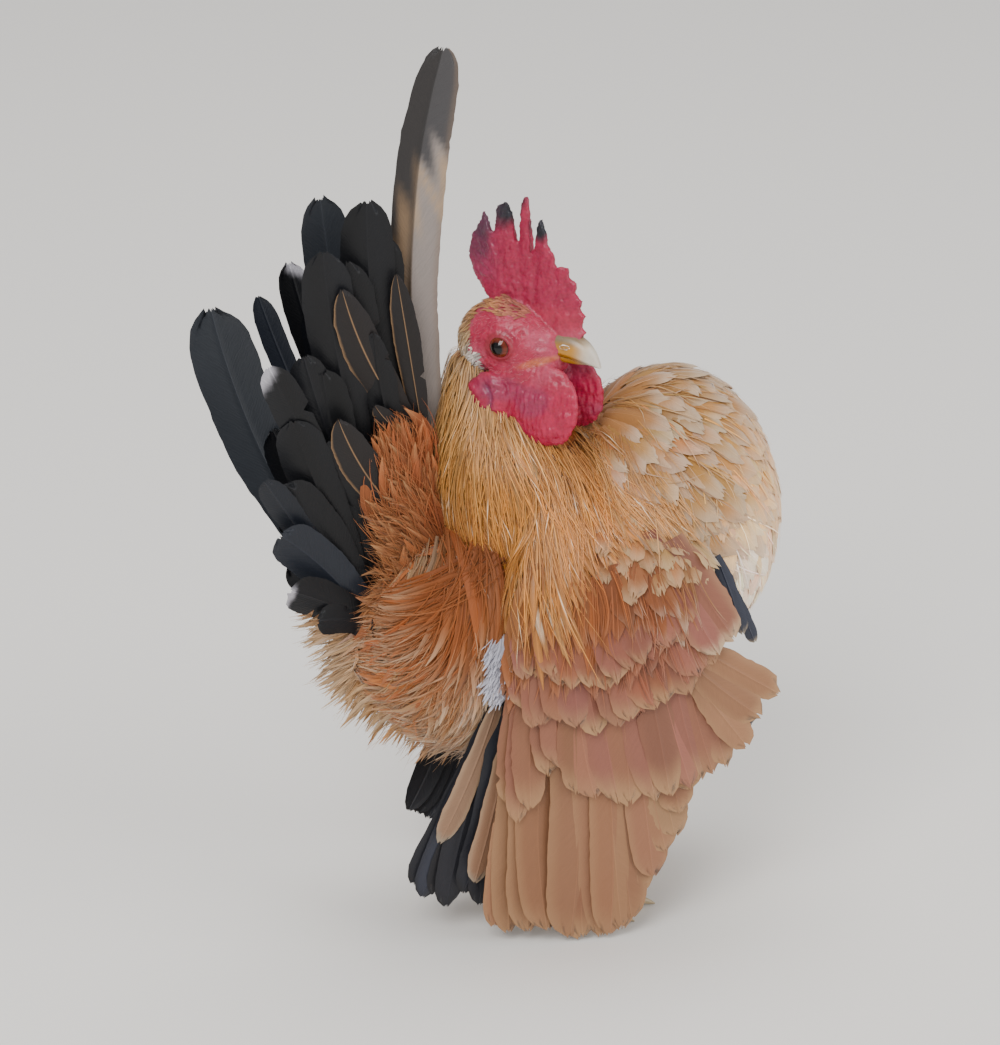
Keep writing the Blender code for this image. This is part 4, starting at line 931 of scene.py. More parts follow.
def makeSaddle():
    def keep(p):
        x, y, z = p.T
        return (x < -4) & (z > 66) & ~((np.abs(y) > 33) & (x > -14)) & ~((z > 128) & (x > -18))

    roots = scattered(bare, saddlePlumes["spacing"], keep, 31)
    draw = np.random.default_rng(32)
    lengths = draw.uniform(*saddlePlumes["length"], len(roots)) * np.where(roots[:, 0] < -52, 0.75, 1.0)
    blocks = grown(bareTree, roots, saddleFlow, lengths, saddlePlumes, draw, (saddleTint(1), saddleTint(1.1)), "body")
    coatPiece("saddleFeathers", blocks, softPaint, "breast_feathers")


makeSaddle()

# Rump and base of the tail: long loose plumes that fan out from a middle, by where they show in the photo

rumpPlumes = {
    "ends": ((306, 600), (299, 620), (303, 650), (314, 684), (334, 716), (362, 738), (395, 750), (425, 765),
             (452, 766), (474, 735), (492, 706)),
    "middle": ((455, 560), (15, 30)), "count": 1700, "depth": (0.42, 0.8), "lean": (0.04, 0.20, 77),
    "reach": (90, 145), "level": (2.0, 5.0, 3.0, 3, 3.0), "bow": (0.10, 0.04), "curl": 1.5,
    "tones": ("#B4703C", "#C2905E", "#D2AE84", "#D6B086", "#CDA06C", "#C8965E", "#C48C56", "#CB9A6C", "#D6AC88",
              "#DCBC9C", "#DDC8B0"),
    "downFrom": ((494, 630), (518, 678)), "downCount": 420,
}
basePlumes = {
    "ends": ((424, 408), (404, 412), (386, 416), (374, 424), (378, 455), (384, 482), (364, 500), (366, 530),
             (372, 560), (362, 590), (358, 612), (372, 640), (400, 650)),
    "middle": ((440, 560), (0, 40)), "count": 2600, "depth": (0.45, 1.0), "lean": (0.06, 0.25, 78),
    "reach": (65, 110), "level": (6.5, 3.5, 7.0, 2, 2.5), "bow": (0.0, 0.08), "curl": 1.0,
}


def alongEnds(at, rows):
    rows = np.array(rows, float)
    return np.stack([np.interp(at, np.arange(len(rows)), column) for column in rows.T], -1)


def fannedLines(form, place, side, draw):
    count = form["count"]
    share = draw.uniform(0, 1, count)
    at = share * (len(form["ends"]) - 1)
    middle = form["middle"][0] + np.array(form["middle"][1]) * share[:, None]
    least, power = form["depth"]
    depth = draw.uniform(least, 1.0, count) ** power
    span = (alongEnds(at, form["ends"]) - middle) * depth[:, None] + draw.normal(size=(count, 2)) * 5
    tips, away = middle + span, span / np.linalg.norm(span, axis=1, keepdims=True)
    spread, wave, seed = form["lean"]
    lean = (draw.normal(size=count) * spread + wave * ripple(np.hstack([tips, tips[:, :1]]), 50, seed))[:, None]
    away = away * np.cos(lean) + away[:, ::-1] * (1, -1) * np.sin(lean)
    roots = tips - away * draw.uniform(*form["reach"], (count, 1))
    low, deeper, sheet, drop, rise = form["level"]
    level = low + deeper * (1 - depth) + draw.uniform(-1.0, 1.5, count)
    starts, stops = (seen(p, place, -1, sheet) for p in (roots, tips))
    lines = drawnLines(place, side, starts, stops, (level - drop, level + draw.uniform(0, rise, count)), 8,
                       form["bow"][0] + draw.normal(size=count) * form["bow"][1],
                       draw.normal(size=count) * form["curl"])
    return lines, share, at, depth


def onRump(x, z, n, side):
    middle, tall, wide = (np.interp(x, bodyForm["torso"][:, 0], bodyForm["torso"][:, k]) for k in (1, 2, 3))
    swell = np.sqrt(np.clip(1 - ((z - middle) / (tall + 3)) ** 2, 0.02, 1))
    return np.stack([x, side * (wide * swell * eased(x, -92, -58) + n), z], -1)


def rumpTint(base):
    def tint(t, s, spots, draw):
        count = len(spots)
        colour = base[:count, None, None, :] * toned(draw, count, 0.13)
        colour = colour * np.array([1.0, 0.93, 0.80]) ** (draw.normal(size=(count, 1, 1, 1)) * 0.9)
        tip = eased(t, 0.6, 1.0)[..., None] * draw.uniform(0, 0.6, (count, 1, 1, 1))
        # painted shade: darker towards the root, where the plumes above lie over it
        return mixed(colour * (0.68 + 0.42 * t[..., None]), "#E8D0AC", tip)
    return tint


def makeRump():
    blocks = []
    for side in (-1, 1):
        draw = np.random.default_rng(36 + side)
        lines, _, at, depth = fannedLines(rumpPlumes, onRump, side, draw)
        base = alongEnds(at, [linear(tone) for tone in rumpPlumes["tones"]])
        base = mixed(base, "#B0662E", eased(1 - depth, 0.05, 0.4)[:, None])
        blocks += tufted(lines, 600, rumpTint(base), 40, "body", (1.0, 2.4))
        # white down between rump and wing
        count = rumpPlumes["downCount"]
        spots = draw.uniform(*rumpPlumes["downFrom"], (count, 2))
        stops = spots + draw.normal(size=(count, 2)) * (4, 5) + (-14, 18)
        starts, stops = (seen(p, onRump, -1, 3.0) for p in (spots, stops))
        lines = drawnLines(onRump, side, starts, stops, (5.0, 8.0 + draw.uniform(0, 2.5, count)), 6, 0.05,
                           draw.normal(size=count))
        # the down is darker towards its root too: painted shade
        blocks.append(vanes(lines, draw.uniform(0.15, 0.6, count), breathShape, 2,
                            lambda t, s, spots, own: linear("#E6E3EA") * (0.8 + 0.2 * t[..., None]), 42, "body",
                            0.2, 0.4, comb=0.2))
    coatPiece("rumpFeathers", blocks, softPaint, "breast_feathers")


makeRump()

# Wings: coverts in rows over long secondaries, with the primaries behind them

wingShape = ((0, 0.5), (0.2, 0.85), (0.5, 1.0), (0.8, 1.0), (0.91, 0.88), (0.965, 0.62), (0.99, 0.36), (1, 0.16))
roundShape = ((0, 0.6), (0.3, 0.92), (0.6, 1.0), (0.8, 0.96), (0.9, 0.8), (0.96, 0.56), (0.99, 0.32), (1, 0.12))
# Each plan lists feathers by where their root and tip show in the photo, in its pixels, with half the width in mm;
# tones are those of the base, edge and tip, where the tip starts, spread, shade at the root and least tip
wingRows = {
    "secondaries": {
        "offset": 1, "level": (2.0, 2.8), "rows": 36, "columns": 16, "fray": 0.06, "tilt": 0.10, "density": 1.3,
        "shape": wingShape, "tones": (("tan", "light", "tan", "salmon"), "light", "light", 0.86, 0.09, 0.12), "plan": (
            (528, 690, 494, 921, 6.0), (538, 690, 516, 927, 6.6), (550, 690, 541, 931, 7.0), (564, 690, 570, 937, 9.0),
            (580, 690, 592, 938, 8.0), (594, 690, 609, 936, 7.6), (606, 690, 625, 927, 7.4), (617, 690, 640, 905, 7.0),
            (628, 690, 654, 878, 6.6), (638, 690, 667, 848, 6.2), (648, 690, 679, 818, 6.0),
            (658, 690, 690, 790, 5.6))},
    "greater": {
        "offset": 2, "level": (2.4, 4.8), "rows": 26, "tilt": 0.10, "density": 1.25,
        "tones": (("salmon", "pink", "tan"), "salmon", "light", 0.78, 0.08), "plan": (
            (524, 655, 504, 800, 4.4), (532, 650, 519, 822, 5.2), (540, 648, 537, 786, 5.4), (554, 646, 556, 757, 5.6),
            (570, 644, 578, 792, 6.2), (586, 640, 602, 799, 6.6), (604, 636, 628, 801, 6.6), (622, 632, 652, 799, 6.4),
            (640, 628, 673, 792, 6.0), (656, 622, 692, 784, 5.6), (672, 618, 711, 774, 5.4),
            (686, 614, 726, 762, 5.0))},
    "median": {
        "offset": 3, "level": (2.6, 6.0), "fray": 0.10, "density": 1.3,
        "tones": (("pink", "salmon", "bow"), "salmon", "light", 0.80, 0.09), "plan": (
            (528, 620, 520, 708, 4.0), (536, 616, 532, 722, 4.8), (548, 612, 552, 716, 5.4), (564, 608, 577, 728, 5.8),
            (580, 604, 603, 730, 6.0), (598, 598, 630, 716, 6.0), (614, 592, 652, 709, 6.0), (630, 586, 674, 694, 5.8),
            (646, 580, 694, 674, 5.6), (660, 576, 709, 655, 5.2))},
    "upper": {
        "offset": 4, "level": (1.4, 7.0), "rows": 18, "comb": 0.04, "density": 1.5,
        "tones": (("bow", "pink", "salmon"), "pink", "light", 0.86, 0.11, 0.2, 0.0), "plan": (
            (524, 586, 520, 668, 4.6), (538, 580, 540, 676, 5.0), (554, 576, 562, 680, 5.2), (570, 570, 585, 682, 5.4),
            (586, 564, 609, 678, 5.4), (602, 558, 632, 668, 5.4), (618, 550, 653, 656, 5.4), (634, 542, 672, 640, 5.2),
            (650, 536, 688, 622, 5.0))},
    "front": {
        "offset": 7, "level": (3.5, 9.0), "jitter": 0.2, "ridge": 0.5,
        "tones": (("salmon", "pink"), "light", "cream", 0.86, 0.05), "plan": (
            (674, 542, 731, 634, 6.2), (668, 560, 716, 650, 5.6))},
    "loose": {
        "offset": 8, "level": (5.0, 8.5), "rows": 22, "jitter": 0.2, "curl": 1.5, "camber": 0.16, "ridge": 0.4,
        "shape": wingShape, "tones": (("tan", "light", "salmon"), "light", "light", 0.86, 0.05), "plan": (
            (684, 640, 777, 690, 5.0), (688, 662, 757, 712, 5.6), (696, 684, 744, 742, 5.2))},
}
quillRows = {
    "primaries": {
        "offset": 6, "level": (-1.8, -2.4), "rows": 34, "fray": 0.05, "density": 1.4, "farShift": 30,
        "shape": wingShape, "tones": (("black", "black", "slate"), "black", "black", 0.93, 0.2, 0.1), "plan": (
            (500, 700, 408, 880, 4.6), (502, 702, 424, 893, 5.2), (504, 704, 446, 903, 5.2), (507, 704, 468, 896, 4.8),
            (510, 706, 488, 903, 5.2), (514, 706, 503, 908, 5.2))},
    "tertials": {
        "offset": 9, "level": (-0.2, 0.6), "rows": 26, "jitter": 0.2, "farShift": 30, "shape": wingShape,
        "tones": (("pale", "tan"), "cream", "pale", 0.93, 0.1), "plan": (
            (497, 706, 438, 842, 3.6), (509, 740, 474, 882, 4.4))},
    "slate": {
        "offset": 10, "level": (2.0, 2.0), "jitter": 0, "curl": 0, "shape": wingShape,
        "tones": (("slate",), "slate", "pale", 0.93, 0.1), "plan": (
            (716, 556, 743, 634, 2.6), (734, 590, 755, 642, 2.2), (732, 672, 750, 727, 3.2))},
}
wingTones = {"bow": "#9E5C34", "salmon": "#A87056", "tan": "#A0704E", "cream": "#DDBE98", "slate": "#3E4250",
             "black": "#1C1A1F", "pale": "#B5A48C", "pink": "#A86A5C", "light": "#C59A6E"}
bowAnchors = (
    (-16, 42, 124, 10, "#B4743C"), (-14, 44, 106, 10, "#A9663C"), (2, 43, 124, 10, "#A8602C"),
    (4, 44, 106, 10, "#A2603E"), (16, 42, 126, 9, "#A25E30"), (16, 44, 108, 10, "#A46248"),
    (30, 38, 134, 9, "#C08C5A"), (34, 38, 120, 9, "#B47A54"), (34, 40, 104, 10, "#AE7860"),
)


def wingTint(base, edge, tip, tipStart, spread, rootShade=0.2, low=0.2):
    # Mixed tones, painted shade at the root, a paler rim and a pale tip, stronger on some feathers than on others
    def tint(t, s, roots, draw):
        count = len(roots)
        mix = draw.dirichlet([0.9] * len(base), count) @ np.array([linear(wingTones[key]) for key in base])
        # painted shade over the root half of each feather
        shade = 1 - rootShade * eased(0.6 - t, 0, 0.6)[..., None]
        colour = mix[:, None, None, :] * toned(draw, count, spread) * shade
        colour = mixed(colour, wingTones[edge], eased(np.abs(s), 0.5, 1.0)[..., None] * 0.4)
        strength = draw.uniform(low, 1.0, (count, 1, 1, 1))
        return mixed(colour, wingTones[tip], eased(t + 0.06 * np.abs(s) ** 2, tipStart, 1.02)[..., None] * strength)
    return tint


def wingRow(side, seed, offset, level, tones, plan, rows=20, columns=14, shape=roundShape, jitter=1.0, density=1.0,
            curl=0.5, tilt=0.12, farShift=0, **edge):
    seed = seed + offset
    draw = np.random.default_rng(seed)
    count = round(len(plan) * density)
    plan = alongEnds(np.linspace(0, len(plan) - 1, count), plan)
    plan[:, :4] += draw.normal(size=(count, 4)) * (2.0, 2.0, 2.2, 3.4) * jitter
    if side > 0:
        plan[:, [0, 2]] += farShift
    low, high = level
    roots, tips = (seen(plan[:, k:k + 2], onWing, -1, (low + high) / 2) for k in (0, 2))
    tips[:, 1] = np.maximum(tips[:, 1], 0.6)
    lift = draw.uniform(-0.5, 0.5, count) * jitter
    lines = drawnLines(onWing, side, roots, tips, (low + lift, high + lift), rows, draw.normal(size=count) * 0.02,
                       draw.normal(size=count) * 0.4 * jitter + curl)
    edge = {"camber": 0.1, "fray": 0.12, "split": 0.01, "ridge": 0.3, "twist": 3, "comb": 0.03, **edge}
    return vanes(lines, plan[:, 4] * draw.uniform(0.94, 1.1, count), shape, columns, wingTint(*tones), seed, "wing",
                 tilt=tilt * -side, **edge)


def bowTint(t, s, spots, draw):
    count = len(spots)
    colour = blended(spots, bowAnchors)[:, None, None, :] * toned(draw, count, 0.13)
    pale = (0.12 + 0.4 * eased(spots[:, 0], 4, 24) * eased(spots[:, 2], 112, 126))[:, None, None, None]
    tip = eased(t + 0.1 * s**2, 0.72, 1.0)[..., None] * pale * draw.uniform(0.2, 1, (count, 1, 1, 1))
    # painted shade: darker towards the root, where the feathers above lie over it
    return mixed(colour * (0.86 + 0.18 * t[..., None]), "#F0DFC8", tip)


def wingBow(side, seed):
    # Soft small feathers from the shoulder down, hiding the roots of the rows
    draw = np.random.default_rng(seed)
    rows = []
    for z in np.linspace(129, 105, 8):
        share = (141 - z) / 40
        rear, front = -24 + 12 * (1 - share) ** 2, np.interp(z, (104, 118, 139), (14, 30, 31))
        x = np.arange(rear, front, 3.6)
        x = x + draw.normal(size=len(x)) * 1.4
        length = draw.uniform(15, 23, len(x))
        lean = np.interp(x, (rear, front), (-0.22, 0.38)) + draw.normal(size=len(x)) * 0.10
        high = z + draw.normal(size=len(x)) * 1.2
        rows.append(np.stack([x, high, x + length * lean, high - length, 3.4 + 1.4 * (1 - share) + 0 * x], -1))
    rows = np.vstack(rows)
    count, lift = len(rows), rows[:, 4]
    lines = drawnLines(onWing, side, rows[:, :2], rows[:, 2:4], (lift, lift + draw.uniform(1.4, 3.2, count)), 8,
                       draw.normal(size=count) * 0.05, draw.normal(size=count) * 0.3)
    return tufted(lines, count, bowTint, seed, "wing", (3.2, 5.0), 7)


for side, name, seed in ((-1, "R", 50), (1, "L", 80)):
    rows = [wingRow(side, seed, **row) for row in wingRows.values()]
    coatPiece("wingFeathers" + name, rows + wingBow(side, seed + 5), wingPaint, "wing_feathers", "wing_" + name,
              "secondaries_" + name)
    rows = [wingRow(side, seed, **row) for row in quillRows.values()]
    coatPiece("primaryFeathers" + name, rows, wingPaint, "primary_feathers", "primaries_" + name)

# Tail: two fans of broad black feathers, a few laced coverts, orange fluff at the base, one straight tall feather

# Feathers by root and tip in the photo, in its pixels, half the width in mm, height off the fan, side bow and tone
tailPlan = {
    "R": (
        (395, 500, 366, 201, 7.4, 0.0, 0.02, "black"), (402, 520, 388, 238, 5.0, 0.6, 0.02, "black"),
        (375, 520, 322, 250, 7.0, 0.4, 0.02, "black"), (395, 540, 345, 262, 7.5, 0.8, 0.02, "black"),
        (372, 540, 304, 358, 5.6, 1.0, 0.02, "black"), (370, 560, 322, 372, 6.5, 1.4, 0.02, "black"),
        (365, 590, 268, 366, 5.2, 2.2, -0.02, "white"), (370, 600, 292, 420, 6.8, 1.4, 0.02, "black"),
        (360, 600, 264, 479, 4.2, 0.6, 0.02, "blue"), (372, 615, 282, 489, 7.2, 2.4, -0.03, "black"),
        (378, 610, 330, 470, 6.0, 2.0, -0.03, "black"), (380, 640, 281, 536, 7.0, 3.0, -0.05, "blue"),
        (385, 648, 289, 590, 6.2, 2.6, -0.06, "white"), (404, 640, 318, 622, 5.0, 2.8, -0.08, "black"),
        (420, 600, 372, 634, 4.6, 8.5, 0.05, "black")),
    "L": (
        (380, 480, 320, 197, 7.0, 0.0, 0.02, "slate"), (362, 470, 289, 263, 4.8, 0.8, 0.02, "white"),
        (380, 500, 351, 262, 7.0, 0.2, 0.02, "black"), (362, 500, 318, 300, 6.0, 0.8, 0.02, "black"),
        (350, 500, 258, 296, 3.6, 0.8, 0.02, "blue"), (345, 590, 211, 309, 9.0, 0.4, 0.05, "slate"),
        (355, 560, 295, 400, 6.6, 0.4, 0.02, "black"), (355, 590, 272, 430, 5.5, 0.4, 0.0, "black"),
        (360, 610, 286, 500, 6.5, 0.8, -0.02, "black"), (372, 630, 292, 560, 6.5, 0.8, -0.04, "black")),
    "laced": (
        (414, 430, 342, 289, 5.6, 5.0, 0.05, "laced"), (424, 440, 397, 275, 3.7, 6.0, 0.0, "laced"),
        (405, 520, 338, 419, 5.4, 8.0, 0.05, "laced"), (420, 440, 375, 406, 2.8, 7.0, 0.08, "laced"),
        (380, 520, 330, 440, 5.0, 5.0, 0.03, "black"), (400, 470, 372, 330, 4.6, 4.4, 0.02, "black")),
}
tailShape = ((0, 0.35), (0.2, 0.62), (0.5, 0.9), (0.8, 1.0), (0.9, 0.93), (0.955, 0.74), (0.985, 0.46), (1, 0.2))
lacedShape = ((0, 0.4), (0.3, 0.85), (0.6, 1.0), (0.8, 0.86), (0.92, 0.55), (0.98, 0.28), (1, 0.1))
tailTones = {"black": "#101013", "slate": "#3A3D41", "blue": "#2C3038", "white": "#101013", "laced": "#2A2320"}


def tailTint(kinds):
    white, laced = (np.array([kind == key for kind in kinds])[:, None, None, None] for key in ("white", "laced"))
    base = np.array([linear(tailTones[kind]) for kind in kinds])[:, None, None, :]

    def tint(t, s, roots, draw):
        count = len(roots)
        colour = base * toned(draw, count, 0.2, 0.6, 1.6)
        sheen = eased(t, 0.35, 0.95) * (0.5 + 0.5 * np.sin(3 * s + draw.uniform(0, 6, (count, 1, 1))))
        colour = mixed(colour, tailTones["blue"], sheen[..., None] * 0.18)
        colour = mixed(colour, "#D6D2D6", eased(t - 0.05 * s, 0.93, 0.99)[..., None] * white * 0.9)
        rim = eased(-s, 0.88, 0.99) * 0.8 + (1 - eased(np.abs(s), 0.01, 0.05)) * 0.7
        return mixed(colour, "#B08C64", np.clip(rim, 0, 1)[..., None] * laced)
    return tint


def tailBlock(plan, side, viewed, seed, columns=16, shape=tailShape):
    draw = np.random.default_rng(seed)
    kinds = [row[7] for row in plan]
    plan = np.array([row[:7] for row in plan], float)
    roots, tips = (seen(plan[:, k:k + 2], onTail, viewed, plan[:, 5]) for k in (0, 2))
    lines = drawnLines(onTail, side, roots, tips, (plan[:, 5] - 0.6, plan[:, 5]), 40, plan[:, 6],
                       draw.normal(size=len(plan)))
    return vanes(lines, plan[:, 4] * 1.12, shape, columns, tailTint(kinds), seed, "tail", 0.14, 0.05, 0.012, 0.4,
                 -0.10 * side, 3, comb=0.02)


def baseTint(low):
    def tint(t, s, spots, draw):
        count = len(spots)
        colour = mixed(linear("#AA5E32"), "#AE7444", low[:count]) * toned(draw, count, 0.2, 0.6, 1.6)
        tip = (eased(t, 0.7, 1.0) * (1 - 0.4 * np.abs(s)))[..., None] * draw.uniform(0, 0.7, (count, 1, 1, 1))
        # painted shade: darker towards the root, where the feathers above lie over it
        return mixed(colour * (0.7 + 0.45 * t[..., None]), "#DCB07A", tip)
    return tint


def makeTailBase():
    # Soft orange feathers that climb from the rump over the base of the tail on both sides
    draw = np.random.default_rng(160)
    blocks = []
    for side in (-1, 1):
        lines, share, _, _ = fannedLines(basePlumes, onTail, side, draw)
        blocks += tufted(lines, 460, baseTint(share[:, None, None, None]), 162, "tail", (1.1, 2.5))
    coatPiece("tailBaseFeathers", blocks, softPaint, "breast_feathers")


def tallTint(t, s, roots, draw):
    # left vane brown-black above and tan below, right vane grey above and beige below, dark along the shaft
    blotch = 0.05 * np.sin(t * 40 + 6 * s)
    left = mixed(linear("#8A7052"), "#2A2422", eased(t + blotch - 0.12 * (s + 0.5), 0.46, 0.60)[..., None])
    right = mixed(linear("#A2978E"), "#4C4949", eased(t + blotch, 0.60, 0.68)[..., None])
    share = eased(s, -0.02, 0.04)[..., None]
    line = (np.exp(-(((s + 0.10) / 0.12) ** 2)) * (1 - 0.4 * eased(t, 0.3, 0.5)))[..., None] * 0.8
    band = np.exp(-(((t - 0.56 + blotch) / 0.035) ** 2))[..., None] * share * 0.8
    colour = mixed(mixed(left, right, share), "#241D1A", line)
    return mixed(mixed(colour, "#8E7660", eased(s, 0.7, 1.0)[..., None] * 0.5), "#C0A482", band)


def onMiddle(x, z, n, side):
    return np.stack([x, n, z], -1)


def makeTallFeather():
    path = seen(((429, 440), (414, 340), (411, 270), (418, 170), (430, 100), (443, 47)), onMiddle, 1, 0.0)
    x, z = through(path, 60).T
    points = onMiddle(x, z, 0 * x, 1)[None]
    lines = {"points": points, "normals": np.broadcast_to((0.0, -1.0, 0.0), points.shape), "roots": points[:, 0],
             "lengths": np.array([np.linalg.norm(np.diff(points[0], axis=0), axis=1).sum()])}
    shape = ((0.0, 0.55), (0.2, 0.9), (0.4, 1.0), (0.7, 1.0), (0.86, 0.86), (0.95, 0.66), (0.985, 0.42), (1.0, 0.2))
    block = vanes(lines, 7.7, shape, 18, tallTint, 151, "tail", 0.12, 0.05, ridge=0.4, uneven=0.16, comb=0.02)
    coatPiece("tallFeather", [block], tallPaint, "sickle_feather", "sickle")


for side, name, seed in ((-1, "R", 110), (1, "L", 130)):
    rows = [tailBlock(tailPlan[name], side, side, seed),
            tailBlock(tailPlan["laced"], side, -1, seed + 1, 14, lacedShape)]
    coatPiece("tailFeathers" + name, rows, tailPaint, "tail_feathers", "tail_" + name, "tail_coverts_" + name)
makeTailBase()
makeTallFeather()

# Eyes, beak, and the small feathers of head and ears

eyeTones = {"pupil": "#060505", "ring": "#4A1A10", "iris": "#66240F", "edge": "#26100C", "white": "#7A4A3C"}


def makeEyes():
    # Wet eyeball: an orange-brown iris, darker at its edge, round a black pupil, under a clear gloss
    paint, node, link = newMaterial("wetEye", {"Roughness": 0.1, "Specular IOR Level": 0.2, "Coat Weight": 0.35,
                                               "Coat Roughness": 0.02})
    link("Base Color", node("Attribute", attribute_name="plumage"))
    radius = headForm["eyeRadius"]
    turn, a = np.linspace(0.002, pi - 0.02, 64)[:, None], turns(72)
    out = radius * np.cos(turn) + 0.55 * np.exp(-((turn / 0.55) ** 2)) + 0 * a
    far = radius * np.sin(turn) + 0 * a
    streak = 0.5 + 0.5 * np.sin(a * 23 + 3 * np.sin(a * 7)) + 0 * far
    iris = linear(eyeTones["iris"]) * (0.75 + 0.4 * streak[..., None])
    colour = mixed(linear(eyeTones["ring"]), iris, eased(far, 2.0, 2.7)[..., None])
    colour = mixed(colour, eyeTones["edge"], eased(far, 2.9, 3.5)[..., None])
    colour = mixed(colour, eyeTones["pupil"], (1 - eased(far, 1.9, 2.05))[..., None])
    colour = np.where((turn < pi / 2)[..., None], colour, linear(eyeTones["white"])).reshape(-1, 3)
    faces = gridFaces(*far.shape, True)
    for side, name in ((-1, "R"), (1, "L")):
        points = np.stack([far * np.cos(a), side * (headPlace["eyeOut"] + out), far * np.sin(a)], -1)
        meshPiece("eyeball" + name, inHead(points), faces if side > 0 else faces[:, ::-1], paint,
                  ("eye_" + name,), colour)


beakForm = {"root": 13.0, "length": 16.0, "drop": 0.9, "rise": 1.4, "half": 4.4, "mouth": -3.0, "halves": (
    # name, way, reach, height, stoutness, width, hook
    ("Upper", 1, 1.0, 6.8, 5.0, 1.0, -1.3), ("Lower", -1, 0.84, 3.0, 2.0, 0.86, 0.0))}


def hornPaint():
    # Horn: smooth, slightly waxy, translucent at the edges, with faint growth lines
    made, node, link = newMaterial("satinHorn", {"Roughness": 0.3, "Subsurface Weight": 0.12,
                                                 "Subsurface Radius": (1.0, 0.6, 0.3), "Subsurface Scale": 0.0012})
    lines = node("TexNoise", Scale=420.0, Detail=4.0, Vector=node("TexCoord", out="Object"))
    light = node("ADD", node("MULTIPLY", lines, 0.5), 0.75)
    surfaced(node, link, node("Attribute", attribute_name="plumage"), light, lines, 0.25, 0.2)
    return made


def drill(beak, side):
    # A long oval nostril
    turn, a = np.linspace(0.1, pi - 0.1, 10)[:, None], turns(16)
    rings = np.stack([18.6 + 1.5 * np.sin(turn) * np.cos(a), side * (3.7 - 1.3 * np.cos(turn)) + 0 * a,
                      1.0 + 0.5 * np.sin(turn) * np.sin(a)], -1)
    points, faces = tube(rings)
    cutter = newObject("nostril", (inHead(points) + toRow) / 1000, faces)
    change = beak.modifiers.new("hole", "BOOLEAN")
    change.operation = "DIFFERENCE"
    change.object = cutter
    result = evaluated(beak)
    beak.modifiers.clear()
    if len(result.vertices):
        beak.data = result
    bpy.data.objects.remove(cutter)


def makeBeak():
    form, paint = beakForm, hornPaint()
    t, a = (1 - (1 - np.linspace(0, 1, 44)) ** 1.7)[:, None], np.linspace(0, pi, 25)[None, :]
    back = a[:, ::-1]
    for name, way, reach, tall, stout, broad, hook in form["halves"]:
        x = form["root"] + form["length"] * reach * t + 0 * a
        taper = np.maximum(1 - t**stout, 0.02) ** 0.8
        low = form["mouth"] - form["drop"] * t * t + form["rise"] * (1 - t) + hook * t**4
        wide = form["half"] * (0.10 + 0.90 * taper) * broad * (1 - 0.25 * t)
        high = np.maximum(tall * taper, 0.3)
        upper = np.stack([x, wide * np.cos(a), low + way * (0.15 + high * np.sin(a) ** 0.85)], -1)
        under = np.stack([x, wide * np.cos(back) * 0.98, low + way * (0.15 + 0.22 * high * np.sin(back))], -1)
        points, faces = tube(np.concatenate([upper, under[:, 1:-1]], 1))
        front = eased(np.clip((points[:, :1] - form["root"]) / form["length"], 0, 1), 0.45, 0.85)
        colour = mixed(linear("#C08A2C"), "#CFC4B2", front)
        colour = mixed(colour, "#776C58", eased(points[:, 2:], 0.5, 3.0) * (1 - 0.5 * front) * 0.85)
        beak = newObject("beak" + name, (inHead(points) + toRow) / 1000, faces, paint)
        addColours(beak.data, deep(colour, 0.9))
        for side in (-1, 1) if way > 0 else ():
            drill(beak, side)
        finished(beak, ("beak_" + name.lower(),))


makeEyes()
makeBeak()

headPlumes = {"spacing": 0.85, "length": (2.6, 6.0), "half": 0.42, "rise": 0.10}
headAnchors = (
    (-24, 10, 0, 9, "#B58A54"), (-12, 8, 10, 6, "#B07A46"), (-4, 10, 10, 5, "#C08A50"), (-11, 10, -7, 6, "#F2EEE8"),
    (-14, 8, 2, 6, "#C2A06C"), (-14, 6, -16, 9, "#B98A50"), (4, 6, 11, 6, "#B9705A"),
)


def headFlow(spots):
    x = fromHead(spots)[:, 0]
    return np.stack([0 * x - 1, 0 * x, -0.35 - 0.7 * eased(-x, 4, 14)], -1) @ headTurn.T


def headTint(t, s, spots, draw):
    colour = blended(fromHead(spots), headAnchors)[:, None, None, :] * toned(draw, len(spots), 0.2, 0.6, 1.6)
    # painted shade: darker towards the root, where the feathers above lie over it
    return colour * (0.75 + 0.4 * t[..., None])


def bristleTint(t, s, spots, draw):
    return linear("#C8707A") * (0.8 + 0.5 * draw.uniform(size=(len(spots), 1, 1, 1)))


def makeHeadFeathers():
    plumes = headPlumes
    skull = remeshed([tube(inHead(ellipseRings(through(headForm["stations"], 40))))], 0.9, 2)

    def keep(p):
        x, y, z = fromHead(p).T
        crown = (z > 9.2 - 0.10 * x + 0.06 * x * (x > 0)) & (np.abs(y) > 2.0) & (x < 7)
        return crown | (x < -10.2 + 0.6 * np.sin(z)) | (x < -6.0) & (z < -2.0) & (z > -13)

    def bareFace(p):
        x, _, z = fromHead(p).T
        return (x < 14) & (x > -10) & (np.hypot(x, z) > 6.0) & (z < 11)

    roots = scattered(skull, plumes["spacing"], keep, 41)
    draw = np.random.default_rng(42)
    lengths = draw.uniform(*plumes["length"], len(roots)) * (0.7 + 0.8 * eased(-fromHead(roots)[:, 0], 4, 16))
    lines = followed(headTree, roots, headFlow, lengths, 4, plumes["rise"], 0.3, 43, 12, 0.35)
    block = vanes(lines, plumes["half"] * draw.uniform(0.6, 1.3, len(roots)), breathShape, 2, headTint, 44, "neck",
                  0.3, 0.3)
    # thin bristles on the red face
    starts = scattered(skull, 1.25, bareFace, 45)
    lines = followed(headTree, starts, headFlow, draw.uniform(0.9, 2.0, len(starts)), 3, 0.2, 0.05, 46, 20, 0.1)
    bristles = hairs(lines, draw, (0.04, 0.08), bristleTint, 47, "neck", ((0, 1), (1, 0.2)))
    coatPiece("headFeathers", [block, bristles], softPaint, "hackle_feathers")


makeHeadFeathers()

# Legs: scaled shanks and toes with horn claws


